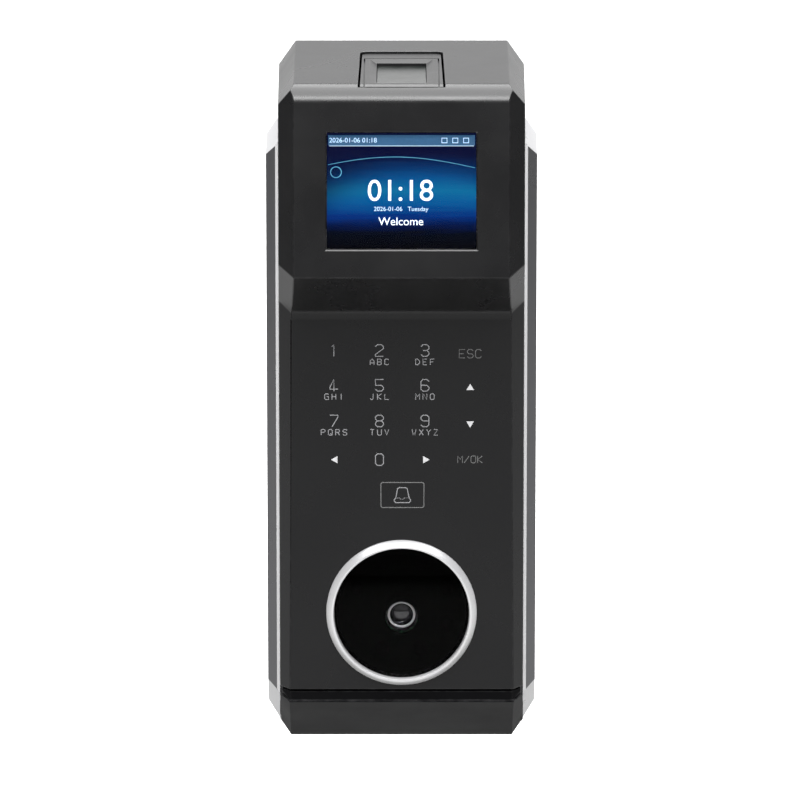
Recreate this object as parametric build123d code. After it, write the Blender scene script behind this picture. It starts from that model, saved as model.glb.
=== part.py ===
"""Fingerprint, palm and keypad access terminal that hangs on a steel wall plate.

Millimetres. The wall is the plane Y = 0, the terminal faces -Y, +X is to the right of
a person facing it and +Z is up. The origin is the centre of the wall plate's screw
pattern, half way up the terminal. "Depth" below means distance out from the wall.
"""
from build123d import *
from math import atan, atan2, cos, degrees, radians, sin, tan
import os

# ---------------------------------------------------------------- driving dimensions
# Terminal outline
HEIGHT = 280.0
BODY_WIDTH = 97.2            # black body, where it meets the wall
WING_REACH = 5.0             # silver shell beyond the body, on each side
TOP_DEPTH = 78.0             # wall to the front edge of the sloping top
LIP_DEPTH = 92.0             # wall to the lower lip of the head
FRONT_DEPTH = 68.0           # wall to the keypad face
BASE_DEPTH = 24.0            # wall to the foot of the base slope
TOP_DROP = 2.0               # how far the top falls from the wall to its front edge
HEAD_HEIGHT = 74.7           # top to the head's lower lip
UNDERCUT_HEIGHT = 19.9       # lip to the top of the keypad face
BASE_HEIGHT = 26.8           # bottom to the lower edge of the keypad face
SIDE_DRAFT = 0.5             # degrees, each side of the black body
TOP_EDGE_RADIUS = 8.0
COVE_RADIUS = 6.0
# Side facets that follow the profile
HEAD_FACET = 6.1             # sideways reach of the facets at the head
FRONT_FACET_TOP = 5.0        # the same beside the keypad, at its top
FRONT_FACET_BOTTOM = 3.7     # and at its lower edge
FACET_FALL = 1.43            # how far a facet falls back for each mm sideways
# Silver shell
SHELL_DEPTH = 28.0           # wall to the silver front line
SHELL_FACE = 1.0             # width of that line beside the black body
SHELL_FACET_DEPTH = 6.0      # how far the wing's flank falls back
SHELL_TOP = 248.4            # bottom to the shell's top
WING_TOP = 242.3             # bottom to the top of the wing's outer edge, at the wall
WING_TOP_SLOPE = (1.5, 0.164)     # mm up for each mm inwards, mm down for each mm out
WING_FOOT = 2.7              # bottom to the foot of the wing's outer edge, at the wall
WING_FOOT_SLOPE = (2.17, 0.918)   # mm down for each mm inwards, mm up for each mm out
WING_CORNER = 1.9            # how far the wings' lower corners stand out past the cover's
SHELL_FOOT_DEPTH = 8.0       # wall to the base cover, under the shell's floor
SHELL_FLOOR = 18.4           # bottom to the underside of the shell's floor
# Walls and gaps
WALL = 2.4
SHELL_WALL = 2.2
PARTING_GAP = 0.25           # between mouldings that butt together
SHADOW_GAP = 0.9             # dark line between the front housing and the base cover
SHADOW_RISE = 5.2            # that line above the lower edge of the keypad face
BAND_EDGE = 0.6              # top of the cover's sharp lip above the same edge
BAND_SETBACK = 0.8           # how far the band under the dark line sits back
FIT = 0.15                   # clearance round a fitted piece
RUNNING_GAP = 0.06           # clearance round a sliding plunger
THREAD_GAP = 0.02            # between a screw's shank and its pilot hole
SCREW_CLEARANCE = 0.2        # on the radius of a screw's passing hole
PLATE_RECESS = 3.5           # hollow behind the shell that swallows the wall plate
BACK_WALL = 2.0              # the shell's back, in front of that hollow
TONGUE_WALL = 1.4            # lips that lap behind the joints
TONGUE_REACH = 3.0
TONGUE_ROOT = 4.0
# Display
WINDOW_WIDTH = 58.0
WINDOW_HEIGHT = 45.0
WINDOW_CENTRE = 41.6         # below the top, measured straight down
WINDOW_BEVEL = 0.5
GLASS_BORDER = 2.2           # glass hidden behind the housing on each side
GLASS_THICKNESS = 1.2
GLASS_SETBACK = 0.9
FOAM_THICKNESS = 0.6
LCD_BORDER = (3.0, 3.5)      # LCD beyond the window, sideways and up
LCD_THICKNESS = 3.4
LCD_REBATE = 0.3
BRACKET_THICKNESS = 0.8
BRACKET_RIM = 7.0
DISPLAY_BOSS_UP = 21.0
DISPLAY_BOSS_RADIUS = 2.6
# Keypad
KEYPAD_HEIGHT = 84.0
KEYPAD_DROP = 46.4           # top of the keypad face to the middle of the keys
BOARD_THICKNESS = 1.6
GUIDE_THICKNESS = 1.2
LAYER_GAP = 0.05             # between stacked sheets
ANTENNA_WIDTH = 56.0
ANTENNA_HEIGHT = 44.0
ANTENNA_RIM = 9.0
ANTENNA_THICKNESS = 1.0
# Palm reader
PALM_RISE = 36.9             # lower edge of the keypad face to the ring's centre
RING_RADIUS = 29.7
RING_INNER_RADIUS = 26.7
RING_HEIGHT = 2.9            # how far its inner rim stands out
RING_EDGE = 0.5              # straight edge at the foot of the cone
RING_SPIGOT = 5.0            # how far it reaches into the housing
RING_WALL = 1.2
PALM_GLASS_THICKNESS = 1.5
PALM_GLASS_RISE = 0.3        # glass face above the keypad face
LENS_DROP = 2.1              # lens below the ring's centre
LENS_RADIUS = 5.0
LENS_BULGE = 1.2
BARREL_RADIUS = 6.6
BARREL_SETBACK = 5.0         # front of the barrel behind the keypad face
IR_BOARD_SETBACK = 14.0
CAMERA_BOARD_SETBACK = 21.0
CUP_FRONT_SETBACK = 6.0
CUP_REAR_SETBACK = 24.0
CUP_RADIUS = 29.5
CUP_WALL = 1.6
EAR_REACH = 25.0             # cup's centre to its screws, each way
EAR_THICKNESS = 1.6
IR_LED_COUNT = 8
IR_LED_RADIUS = 2.5
IR_LED_LENGTH = 4.0
IR_LED_CIRCLE = 19.0
# Finger guide on the top
GUIDE_WIDTH = 33.0           # at its front
GUIDE_TAPER = 0.7            # narrower by this on each side at its rear
GUIDE_REAR = 19.0            # wall to the rear of the guide
GUIDE_FRONT = 75.0
GUIDE_DEPTH = 5.0            # height of the guide's own block
GUIDE_CORNER = 3.0
GUIDE_SETTLE = 0.9           # its rear edge below the housing's top
GUIDE_FUNNEL_WIDTH = 27.4
GUIDE_FUNNEL_REAR = 29.0
FINGER_GLASS_WIDTH = 19.2
FINGER_GLASS_FRONT = 70.0
WELL_STEP = 2.2              # rear of the funnel to the finger glass
GUIDE_SINK = 2.0             # floor of the funnel below the top, at its rear
FRONT_SINK = 0.25            # and at its front
GLASS_SINK = 3.1             # finger glass below the top, at its rear
GUIDE_GROOVE = 0.8
RIM_WIDTH = 0.5              # ridge between the funnel and the fine line round it
RIM_GROOVE = 0.6
RIM_GROOVE_DEPTH = 1.7
PRISM_DEPTH = 14.0
SENSOR_WALL = 1.6
SENSOR_DROP = 34.0           # top to the bottom of the sensor housing
# Wall plate
PLATE_TOP_DROP = 44.0        # top of the terminal to the top of the plate
PLATE_BOTTOM_RISE = 14.0     # bottom of the terminal to the bottom of the plate
PLATE_THICKNESS = 1.5
PLATE_CORNER = 3.0
PLATE_HOLE_RADIUS = 2.5
PLATE_HOLE_SPACING_X = 60.0
PLATE_HOLE_SPACING_Z = 160.0
CABLE_WINDOW_WIDTH = 44.0
CABLE_WINDOW_HEIGHT = 36.0
CABLE_WINDOW_CENTRE = -40.0
WIRING_HALF = 27.0           # opening in the shell's back, half its width
WIRING_Z = (-64.0, -11.0)    # the same, bottom and top
HOOK_THICKNESS = 2.0
HOOK_NECK = 6.0
HOOK_NOSE = 6.0
HOOK_NOSE_THICKNESS = 2.4
HOOK_PLAY = 0.4              # hook's nose in front of the shell's back
HOOK_GAP = 0.05              # over the hook's neck
HOOK_X = 33.0
HOOK_DROP = 85.0             # top of the terminal to the upper hooks
HOOK_RISE = 76.0             # bottom of the terminal to the lower hooks
LIFT_TRAVEL = 8.0            # how far the terminal rises to come off its hooks
TAB_HALF = 7.0               # securing tab, half its width
TAB_THICKNESS = 2.0
TAB_MARGIN = 6.0             # tab beyond the securing screw
# Boards and fasteners
MAIN_BOARD_DEPTH = 19.0      # wall to the back of the main board
MAIN_BOARD_MARGIN = 48.0     # board below the top and above the bottom
BOARD_SCREW_INSET = 8.0      # its screws inside its ends
BOARD_SCREW_X = 34.0
BOARD_SCREW_RADIUS = 1.25
BOARD_SCREW_LENGTH = 8.0
BOARD_BOSS_RADIUS = 3.0
BOSS_PLAY = 0.8              # front posts reach behind the board's back by this
HOUSING_SCREW_RADIUS = 1.5
HOUSING_SCREW_BITE = 10.0
HOUSING_SCREW_INSET = 9.1    # inside the body's side
HOUSING_SCREW_DROP = 43.0    # top of the terminal to the upper screws
HOUSING_SCREW_MIDDLE = 5.0
HOUSING_SCREW_RISE = 41.0    # bottom of the terminal to the lower screws
HOUSING_BOSS_RADIUS = 3.6
HEAD_SEAT = 1.6              # seat of a housing screw's head inside the shell's back
SCREW_HEAD_RADIUS = 2.8
SCREW_HEAD_HEIGHT = 1.8
SMALL_SCREW_RADIUS = 1.0
SMALL_HEAD_RADIUS = 1.9
SMALL_HEAD_HEIGHT = 1.2
SMALL_SCREW_LENGTH = 3.6
SECURING_SCREW_DEPTH = 13.0
SECURING_SCREW_RADIUS = 1.5
BOSS_RISE = 4.2              # height of the securing screw's boss
# Flat cables and connectors
CONNECTOR_HEIGHT = 3.0
FLEX_THICKNESS = 0.3
LCD_FLEX_DROP = 72.0         # top of the terminal to its socket
FINGER_FLEX_DROP = 58.0
KEYPAD_FLEX_HEIGHT = 26.0
KEYPAD_FLEX_X = -26.0
PALM_FLEX_RISE = 72.0        # bottom of the terminal to its socket
# Wiring terminals
BLOCK_WIDTH = 15.5
BLOCK_PITCH = 17.0
BLOCK_Z = (-22.0, -12.5)
BLOCK_REAR = 9.0
WAYS = 4
JACK_X = (8.0, 29.0)
JACK_Z = (-62.0, -46.0)
JACK_REAR = 5.9
# Bottom: USB socket, its flap, and the speaker
USB_CENTRE = (-24.0, 15.0)   # x, and out from the wall
USB_WIDTH = 14.4
USB_THICKNESS = 7.0
USB_LENGTH = 15.0
FLAP_LENGTH = 13.0
FLAP_WIDTH = 20.0
FLAP_THICKNESS = 1.4
FLAP_GAP = 0.3
SPEAKER_WIDTH = 26.0
SPEAKER_INSET = 9.6          # inside the body's side
SPEAKER_DEPTH = (10.0, 22.0)
SPEAKER_SLOTS = 6
# Switches
TAMPER_PLACE = (18.0, 30.0)
TAMPER_RADIUS = 1.5
TAMPER_REAR = 12.0           # wall to the back of its body
TAMPER_TRAVEL = 1.5
RESET_PLACE = (-22.0, -60.5)
RESET_RADIUS = 1.7
RESET_REAR = 15.4
RESET_TRAVEL = 0.3

# ---------------------------------------------------------------- derived places
TOP = HEIGHT / 2
BOTTOM = -HEIGHT / 2
LIP = TOP - HEAD_HEIGHT
FACE_TOP = LIP - UNDERCUT_HEIGHT
FACE_BOTTOM = BOTTOM + BASE_HEIGHT
SHELL_EDGE = BOTTOM + SHELL_TOP
COVER_TOP = FACE_BOTTOM + SHADOW_RISE
HALF_BODY = BODY_WIDTH / 2
HALF_SHELL = HALF_BODY + WING_REACH
FRONT_HALF = HALF_BODY - tan(radians(SIDE_DRAFT)) * FRONT_DEPTH
TOP_SLOPE = degrees(atan(TOP_DROP / TOP_DEPTH))
HEAD_LEAN = degrees(atan((LIP_DEPTH - TOP_DEPTH) / (HEAD_HEIGHT - TOP_DROP)))
INNER_FACE = FRONT_DEPTH - WALL        # back of the keypad face's wall
SHELL_BACK = PLATE_RECESS + BACK_WALL  # front of the shell's back
SHELL_CAVITY_HALF = HALF_BODY - 3.6
RECESS_HALF = HALF_BODY - 4.6
RECESS_TOP = TOP - 36
RECESS_FOOT = 3.4
TONGUE_HALF = HALF_BODY - 3.2
CORE_X = (HALF_BODY - 1.4, HALF_SHELL - 2.2)
DISPLAY_BOSS_X = HALF_BODY - 12.6
LCD_WIDTH = WINDOW_WIDTH + 2 * LCD_BORDER[0]
LCD_HEIGHT = WINDOW_HEIGHT + 2 * LCD_BORDER[1]
KEYPAD_HALF = HALF_BODY - 10.6
KEYPAD_CENTRE = FACE_TOP - KEYPAD_DROP
PALM_CENTRE = FACE_BOTTOM + PALM_RISE
LENS_CENTRE = PALM_CENTRE - LENS_DROP
PALM_CUP_FRONT = FRONT_DEPTH - CUP_FRONT_SETBACK
PALM_CUP_REAR = FRONT_DEPTH - CUP_REAR_SETBACK
IR_BOARD_DEPTH = FRONT_DEPTH - IR_BOARD_SETBACK
BARREL_FRONT = FRONT_DEPTH - BARREL_SETBACK
CAMERA_BOARD_DEPTH = FRONT_DEPTH - CAMERA_BOARD_SETBACK
FINGER_GLASS_REAR = GUIDE_FUNNEL_REAR + WELL_STEP
SENSOR_BOTTOM = TOP - SENSOR_DROP
PLATE_HALF = HALF_BODY - 8.6
PLATE_TOP = TOP - PLATE_TOP_DROP
PLATE_BOTTOM = BOTTOM + PLATE_BOTTOM_RISE
HOOK_HEIGHTS = (TOP - HOOK_DROP, BOTTOM + HOOK_RISE)
HOOK_SLOT_WIDTH = HOOK_THICKNESS + 1.0
MAIN_BOARD_HALF = HALF_BODY - 9.6
MAIN_BOARD_TOP = TOP - MAIN_BOARD_MARGIN
MAIN_BOARD_BOTTOM = BOTTOM + MAIN_BOARD_MARGIN
BOARD_FRONT = MAIN_BOARD_DEPTH + BOARD_THICKNESS
BOARD_SCREW_HEIGHTS = (MAIN_BOARD_TOP - BOARD_SCREW_INSET, MAIN_BOARD_BOTTOM + BOARD_SCREW_INSET)
HOUSING_SCREW_X = HALF_BODY - HOUSING_SCREW_INSET
HOUSING_SCREW_HEIGHTS = (TOP - HOUSING_SCREW_DROP, HOUSING_SCREW_MIDDLE, BOTTOM + HOUSING_SCREW_RISE)
FRONT_BOSS_START = MAIN_BOARD_DEPTH - BOSS_PLAY
SCREW_SEAT = PLATE_RECESS + HEAD_SEAT
TAB_DEPTH = SECURING_SCREW_DEPTH + TAB_MARGIN
FLEX_SEAT = BOARD_FRONT + CONNECTOR_HEIGHT
LCD_FLEX_HEIGHT = TOP - LCD_FLEX_DROP
FINGER_FLEX_HEIGHT = TOP - FINGER_FLEX_DROP
PALM_FLEX_HEIGHT = BOTTOM + PALM_FLEX_RISE
FLAP_AXIS_DEPTH = USB_CENTRE[1] - FLAP_LENGTH / 2 + FLAP_THICKNESS / 2
SPEAKER_X = (HALF_BODY - SPEAKER_INSET - SPEAKER_WIDTH, HALF_BODY - SPEAKER_INSET)
TAMPER_BODY = (TAMPER_REAR, MAIN_BOARD_DEPTH)
TAMPER_TIP = PLATE_THICKNESS + 0.2
RESET_BODY = (RESET_REAR, MAIN_BOARD_DEPTH)
WELL = 300.0                           # bigger than the terminal


def at(x, depth, z):
    """A point, from its distance to the right, out from the wall and up."""
    return Vector(x, -depth, z)


def slab(x, depth, z):
    """A box between three (low, high) pairs."""
    size = (x[1] - x[0], depth[1] - depth[0], z[1] - z[0])
    centre = at((x[0] + x[1]) / 2, (depth[0] + depth[1]) / 2, (z[0] + z[1]) / 2)
    return Pos(centre) * Box(*size)


def outward_rod(radius, x, z, depth):
    """A cylinder square to the wall, between two depths."""
    length = depth[1] - depth[0]
    middle = at(x, (depth[0] + depth[1]) / 2, z)
    return Pos(middle) * Rot(90, 0, 0) * Cylinder(radius, length)


def upright_rod(radius, x, depth, z):
    """A cylinder along Z, between two heights."""
    middle = at(x, depth, (z[0] + z[1]) / 2)
    return Pos(middle) * Cylinder(radius, z[1] - z[0])


def side_prism(points, half_width):
    """A side-view outline of (depth, z) points, run across the terminal's width."""
    outline = make_face(Polyline(*[at(0, d, z) for d, z in points], close=True))
    return extrude(outline, half_width, dir=(1, 0, 0), both=True)


def both_sides(half):
    """The right half and its mirror image as one solid."""
    return half + mirror(half, Plane.YZ)


def joined(parts):
    """Several overlapping solids fused into one."""
    whole = parts[0]
    for part in parts[1:]:
        whole += part
    return whole


# ---------------------------------------------------------------- black body's form
def face_plane(start, end):
    """The plane of one profile edge, from one (depth, z) corner to the next."""
    run = end[0] - start[0]
    rise = end[1] - start[1]
    return Plane(origin=at(0, *start), x_dir=(1, 0, 0), z_dir=(0, rise, run))


def facet_plane(start, end, start_x, end_x):
    """The side facet of one profile edge, from its inner X at both corners."""
    edge = at(end_x, *end) - at(start_x, *start)
    outward = face_plane(start, end).z_dir
    fall = Vector(1, 0, 0) - outward * FACET_FALL
    normal = edge.cross(fall)
    if normal.X < 0:
        normal = normal * -1
    return Plane(origin=at(start_x, *start), z_dir=normal)


def trimmed(block, planes, inset):
    """The part of a block behind every plane, each moved inwards by the inset."""
    for plane in planes:
        block = split(block, bisect_by=plane.offset(-inset), keep=Keep.BOTTOM)
    return block


TOP_REAR = (0.0, TOP)
TOP_FRONT = (TOP_DEPTH, TOP - TOP_DROP)
HEAD_LIP = (LIP_DEPTH, LIP)
FACE_START = (FRONT_DEPTH, FACE_TOP)
FACE_END = (FRONT_DEPTH, FACE_BOTTOM)
BASE_FOOT = (BASE_DEPTH, BOTTOM)
WALL_FOOT = (0.0, BOTTOM)
HEAD_X = FRONT_HALF - HEAD_FACET
FACE_TOP_X = FRONT_HALF - FRONT_FACET_TOP
FACE_BOTTOM_X = FRONT_HALF - FRONT_FACET_BOTTOM


def draft_plane():
    side = sin(radians(SIDE_DRAFT))
    return Plane(origin=at(HALF_BODY, 0, 0), z_dir=(cos(radians(SIDE_DRAFT)), -side, 0))


def body_form(inset):
    """The black body's outer form, or its inside when inset by a wall."""
    head_planes = [
        draft_plane(),
        face_plane(TOP_REAR, TOP_FRONT),
        face_plane(TOP_FRONT, HEAD_LIP),
        face_plane(HEAD_LIP, FACE_START),
        facet_plane(TOP_REAR, TOP_FRONT, HEAD_X, HEAD_X),
        facet_plane(TOP_FRONT, HEAD_LIP, HEAD_X, HEAD_X),
        facet_plane(HEAD_LIP, FACE_START, HEAD_X, FACE_TOP_X),
    ]
    lower_planes = [
        draft_plane(),
        face_plane(FACE_START, FACE_END),
        face_plane(FACE_END, BASE_FOOT),
        face_plane(BASE_FOOT, WALL_FOOT),
        facet_plane(FACE_START, FACE_END, FACE_TOP_X, FACE_BOTTOM_X),
        facet_plane(FACE_END, BASE_FOOT, FACE_BOTTOM_X, FACE_BOTTOM_X),
        facet_plane(BASE_FOOT, WALL_FOOT, FACE_BOTTOM_X, FACE_BOTTOM_X),
    ]
    head_block = slab((0, WELL), (inset, WELL), (BOTTOM + BASE_HEIGHT, WELL))
    lower_block = slab((0, WELL), (inset, WELL), (-WELL, LIP))
    head = trimmed(head_block, head_planes, inset)
    lower = trimmed(lower_block, lower_planes, inset)
    return both_sides(head + lower)


def rounded_profile():
    """Everything behind the head's rounded top edge."""
    corners = [(0, TOP), TOP_FRONT, HEAD_LIP, (LIP_DEPTH, BOTTOM), (0, BOTTOM)]
    outline = make_face(Polyline(*[at(0, d, z) for d, z in corners], close=True))
    outline = fillet(outline.vertices().sort_by_distance(at(0, *TOP_FRONT))[0], TOP_EDGE_RADIUS)
    return extrude(outline, WELL / 2, dir=(1, 0, 0), both=True)


def cove():
    """The soft inside corner between the undercut and the keypad face."""
    slope = atan2(LIP_DEPTH - FRONT_DEPTH, UNDERCUT_HEIGHT)
    tangent = COVE_RADIUS * tan(slope / 2)
    upper = (FRONT_DEPTH + tangent * sin(slope), FACE_TOP + tangent * cos(slope))
    lower = (FRONT_DEPTH, FACE_TOP - tangent)
    behind = (FRONT_DEPTH - WALL / 2, FACE_TOP)
    sides = [
        Polyline(at(0, *upper), at(0, *behind), at(0, *lower)),
        ThreePointArc(at(0, *lower), at(0, *cove_middle(slope)), at(0, *upper)),
    ]
    return extrude(make_face(sides), FACE_TOP_X, dir=(1, 0, 0), both=True)


def cove_middle(slope):
    """The middle point of the cove's arc."""
    tangent = COVE_RADIUS * tan(slope / 2)
    centre = (FRONT_DEPTH + COVE_RADIUS, FACE_TOP - tangent)
    reach = slope / 2
    return (centre[0] - COVE_RADIUS * cos(reach), centre[1] + COVE_RADIUS * sin(reach))


def body_skin():
    """The whole black skin, hollow, before it is divided into two mouldings."""
    outside = (body_form(0) & rounded_profile()) + cove()
    return outside - body_form(WALL)


# ---------------------------------------------------------------- local planes
def head_face(z):
    """The plane of the head's front at one height, facing out."""
    share = (TOP - TOP_DROP - z) / (HEAD_HEIGHT - TOP_DROP)
    depth = TOP_DEPTH + share * (LIP_DEPTH - TOP_DEPTH)
    lean = radians(HEAD_LEAN)
    return Plane(origin=at(0, depth, z), x_dir=(1, 0, 0), z_dir=(0, -cos(lean), sin(lean)))


def top_face(depth):
    """The plane of the top at one depth, facing up; its Y points to the wall."""
    z = TOP - TOP_DROP * depth / TOP_DEPTH
    slope = radians(TOP_SLOPE)
    return Plane(origin=at(0, depth, z), x_dir=(1, 0, 0), z_dir=(0, -sin(slope), cos(slope)))


def plate_on(plane, width, height, low, high):
    """A rectangular slab on a plane, between two heights above it."""
    return plane.offset(low) * extrude(Rectangle(width, height), high - low)


WINDOW_PLANE = head_face(TOP - WINDOW_CENTRE)


# ---------------------------------------------------------------- black mouldings
def front_housing():
    """Hood, display face and keypad face: one black moulding, open at the back."""
    behind = slab((-WELL, WELL), (-1, BASE_DEPTH + PARTING_GAP), (-WELL, SHELL_EDGE + PARTING_GAP))
    below = slab((-WELL, WELL), (-1, WELL), (-WELL, COVER_TOP))
    housing = body_skin() - behind - below
    housing += front_bosses()
    housing -= front_boss_bores()
    housing -= display_opening()
    housing -= guide_opening()
    housing -= outward_rod(palm_bore_radius(), 0, PALM_CENTRE, (FRONT_DEPTH - 3 * WALL, FRONT_DEPTH + 1))
    return housing


def housing_screw_places():
    return [(side * HOUSING_SCREW_X, z) for z in HOUSING_SCREW_HEIGHTS for side in (-1, 1)]


def display_stack(layers):
    """How far the back of a layer is below the head's face: glass, foam, LCD, bracket."""
    thicknesses = [GLASS_SETBACK + GLASS_THICKNESS, FOAM_THICKNESS, LCD_THICKNESS, BRACKET_THICKNESS]
    return sum(thicknesses[:layers])


def display_boss_places():
    return [(x * DISPLAY_BOSS_X, y * DISPLAY_BOSS_UP) for x in (-1, 1) for y in (-1, 1)]


def display_rod(radius, x, y, low, high):
    """A cylinder square to the head's face, between two depths below it."""
    return WINDOW_PLANE.offset(low) * Pos(x, y, 0) * extrude(Circle(radius), high - low)


def palm_ear_places():
    return [(x * EAR_REACH, PALM_CENTRE + z * EAR_REACH) for x in (-1, 1) for z in (-1, 1)]


def front_bosses():
    """Screw posts that grow from the inside of the front."""
    inside = body_form(WALL / 2)
    posts = []
    for x, z in housing_screw_places():
        posts.append(outward_rod(HOUSING_BOSS_RADIUS, x, z, (FRONT_BOSS_START, LIP_DEPTH)) & inside)
    for x, y in display_boss_places():
        posts.append(display_rod(DISPLAY_BOSS_RADIUS, x, y, -display_stack(3), -WALL / 2))
    for x, z in palm_ear_places():
        posts.append(outward_rod(BOARD_BOSS_RADIUS, x, z, (PALM_CUP_FRONT, FRONT_DEPTH - WALL / 2)))
    return joined(posts)


def front_boss_bores():
    """The pilot holes in those posts."""
    bores = []
    for x, z in housing_screw_places():
        reach = (FRONT_BOSS_START - 1, FRONT_BOSS_START + HOUSING_SCREW_BITE)
        bores.append(outward_rod(HOUSING_SCREW_RADIUS, x, z, reach))
    for x, y in display_boss_places():
        bores.append(display_rod(SMALL_SCREW_RADIUS, x, y, -display_stack(4) - 1, -WALL))
    for x, z in palm_ear_places():
        bores.append(outward_rod(SMALL_SCREW_RADIUS, x, z, (PALM_CUP_FRONT - 1, INNER_FACE)))
    return joined(bores)


def display_opening():
    """Bevelled window, with a wider seat behind it for the glass."""
    bevel = WINDOW_PLANE.offset(-WINDOW_BEVEL) * extrude(
        Rectangle(WINDOW_WIDTH, WINDOW_HEIGHT), 2 * WINDOW_BEVEL, taper=-45)
    through = plate_on(WINDOW_PLANE, WINDOW_WIDTH, WINDOW_HEIGHT, -3 * WALL, WALL)
    seat_width = WINDOW_WIDTH + 2 * GLASS_BORDER + 2 * FIT
    seat_height = WINDOW_HEIGHT + 2 * GLASS_BORDER + 2 * FIT
    seat = plate_on(WINDOW_PLANE, seat_width, seat_height, -3 * WALL, -GLASS_SETBACK)
    return bevel + through + seat


def guide_block(grow, low, high):
    """The guide's block below the top face, wider at its front; grow widens it."""
    front = GUIDE_WIDTH / 2 + grow
    rear = front - GUIDE_TAPER
    length = GUIDE_FRONT - GUIDE_REAR
    corners = [(-front, -length / 2), (front, -length / 2), (rear, length / 2 + grow), (-rear, length / 2 + grow)]
    block = extrude(make_face(Polyline(*corners, close=True)), high - low)
    rear_corners = block.edges().filter_by(lambda e: abs(e.tangent_at(0).Z) > 0.99).sort_by(Axis.Y)[-2:]
    block = fillet(rear_corners, GUIDE_CORNER + grow)
    return top_face((GUIDE_REAR + GUIDE_FRONT) / 2).offset(low) * block


def guide_opening():
    """The hole in the top that takes the finger guide, with the dark line round it."""
    return guide_block(GUIDE_GROOVE / 2, -GUIDE_DEPTH - 1, 2 * WALL)


def palm_bore_radius():
    return RING_INNER_RADIUS + RING_WALL + FIT


def base_cover():
    """The black foot that closes the bottom, behind a shadow line."""
    upper = COVER_TOP - SHADOW_GAP
    cover = (body_form(0) - body_form(WALL)) & cover_space(upper)
    cover += slab((-5, 5), (SECURING_SCREW_DEPTH - 4, SECURING_SCREW_DEPTH + 5), (BOTTOM, BOTTOM + BOSS_RISE))
    band = slab((-WELL, WELL), (-1, WELL), (FACE_BOTTOM + BAND_EDGE, WELL))
    cover -= band - body_form(BAND_SETBACK)
    tongue = body_form(WALL + FIT) - body_form(WALL + FIT + TONGUE_WALL)
    tongue -= slab((-WELL, WELL), (-1, WELL), (COVER_TOP + TONGUE_REACH, WELL))
    tongue -= slab((-WELL, WELL), (-1, WELL), (-WELL, FACE_BOTTOM - TONGUE_ROOT))
    tongue -= slab((-WELL, WELL), (-1, SHELL_DEPTH + TONGUE_WALL), (-WELL, WELL))
    joint = body_form(WALL / 2) - body_form(WALL + FIT + TONGUE_WALL)
    joint -= slab((-WELL, WELL), (-1, WELL), (upper - TONGUE_WALL, WELL))
    joint -= slab((-WELL, WELL), (-1, WELL), (-WELL, FACE_BOTTOM - TONGUE_ROOT))
    joint -= slab((-WELL, WELL), (-1, SHELL_DEPTH + TONGUE_WALL), (-WELL, WELL))
    return cover + tongue + joint - bottom_cuts()


def cover_space(upper):
    """The space of the base cover: in front of the shell, and under its floor."""
    front = slab((-WELL, WELL), (BASE_DEPTH + PARTING_GAP, WELL), (-WELL, upper))
    under = slab((-WELL, WELL), (SHELL_FOOT_DEPTH + PARTING_GAP, WELL),
                 (-WELL, BOTTOM + SHELL_FLOOR - PARTING_GAP))
    return front + under


# ---------------------------------------------------------------- silver shell
def shell_form():
    """The silver shell's outer form: wings either side of a flush middle."""
    wing_inner = HALF_BODY + PARTING_GAP
    facet_inner = wing_inner + SHELL_FACE
    reach = HALF_SHELL - facet_inner
    side_turn = Vector(SHELL_FACET_DEPTH, -reach, 0)
    top_turn = (WING_TOP_SLOPE[0], -WING_TOP_SLOPE[1], 1)
    foot_turn = (WING_FOOT_SLOPE[0], -WING_FOOT_SLOPE[1], -1)
    planes = [
        Plane(origin=at(facet_inner, SHELL_DEPTH, 0), z_dir=side_turn),
        Plane(origin=at(HALF_SHELL, 0, BOTTOM + WING_TOP), z_dir=top_turn),
        Plane(origin=at(HALF_SHELL, 0, BOTTOM + WING_FOOT), z_dir=foot_turn),
    ]
    wing = slab((wing_inner - 1, HALF_SHELL), (0, SHELL_DEPTH), (BOTTOM, SHELL_EDGE))
    wing = trimmed(wing, planes, 0)
    middle = slab((0, wing_inner), (0, BASE_DEPTH), (BOTTOM, SHELL_EDGE))
    corner = facet_plane(BASE_FOOT, WALL_FOOT, FACE_BOTTOM_X, FACE_BOTTOM_X)
    wing = trimmed(wing, [corner], -WING_CORNER)
    middle = trimmed(middle, [corner], 0)
    nest_space = slab((-WELL, WELL), (BASE_DEPTH, WELL), (-WELL, WELL))
    nest_space += slab((-WELL, WELL), (SHELL_FOOT_DEPTH, WELL), (-WELL, BOTTOM + SHELL_FLOOR))
    nest = body_form(-PARTING_GAP) & nest_space
    return both_sides((wing + middle) - nest)


def rear_housing():
    """The silver tray that carries the boards and hangs on the wall plate."""
    shell = shell_form()
    floor = BOTTOM + SHELL_FLOOR + SHELL_WALL
    shell -= slab((-SHELL_CAVITY_HALF, SHELL_CAVITY_HALF), (SHELL_BACK, WELL), (floor, WELL))
    shell -= slab((-RECESS_HALF, RECESS_HALF), (-1, PLATE_RECESS), (BOTTOM + RECESS_FOOT, RECESS_TOP))
    for side in (-1, 1):
        core = sorted((side * CORE_X[0], side * CORE_X[1]))
        shell -= slab(core, (-1, BASE_DEPTH - SHELL_WALL), (BOTTOM + 22, SHELL_EDGE - 12))
        tongue = sorted((side * (TONGUE_HALF - 1.8), side * TONGUE_HALF))
        shell += slab(tongue, (BASE_DEPTH - 8, SHELL_DEPTH), (BOTTOM + 34, RECESS_TOP))
    top_tongue = (WALL + 2 * FIT, SHELL_BACK)
    shell += slab((-RECESS_HALF, RECESS_HALF), top_tongue, (RECESS_TOP, SHELL_EDGE + 6))
    shell += rear_bosses()
    shell -= rear_bores()
    return shell - rear_windows()


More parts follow.
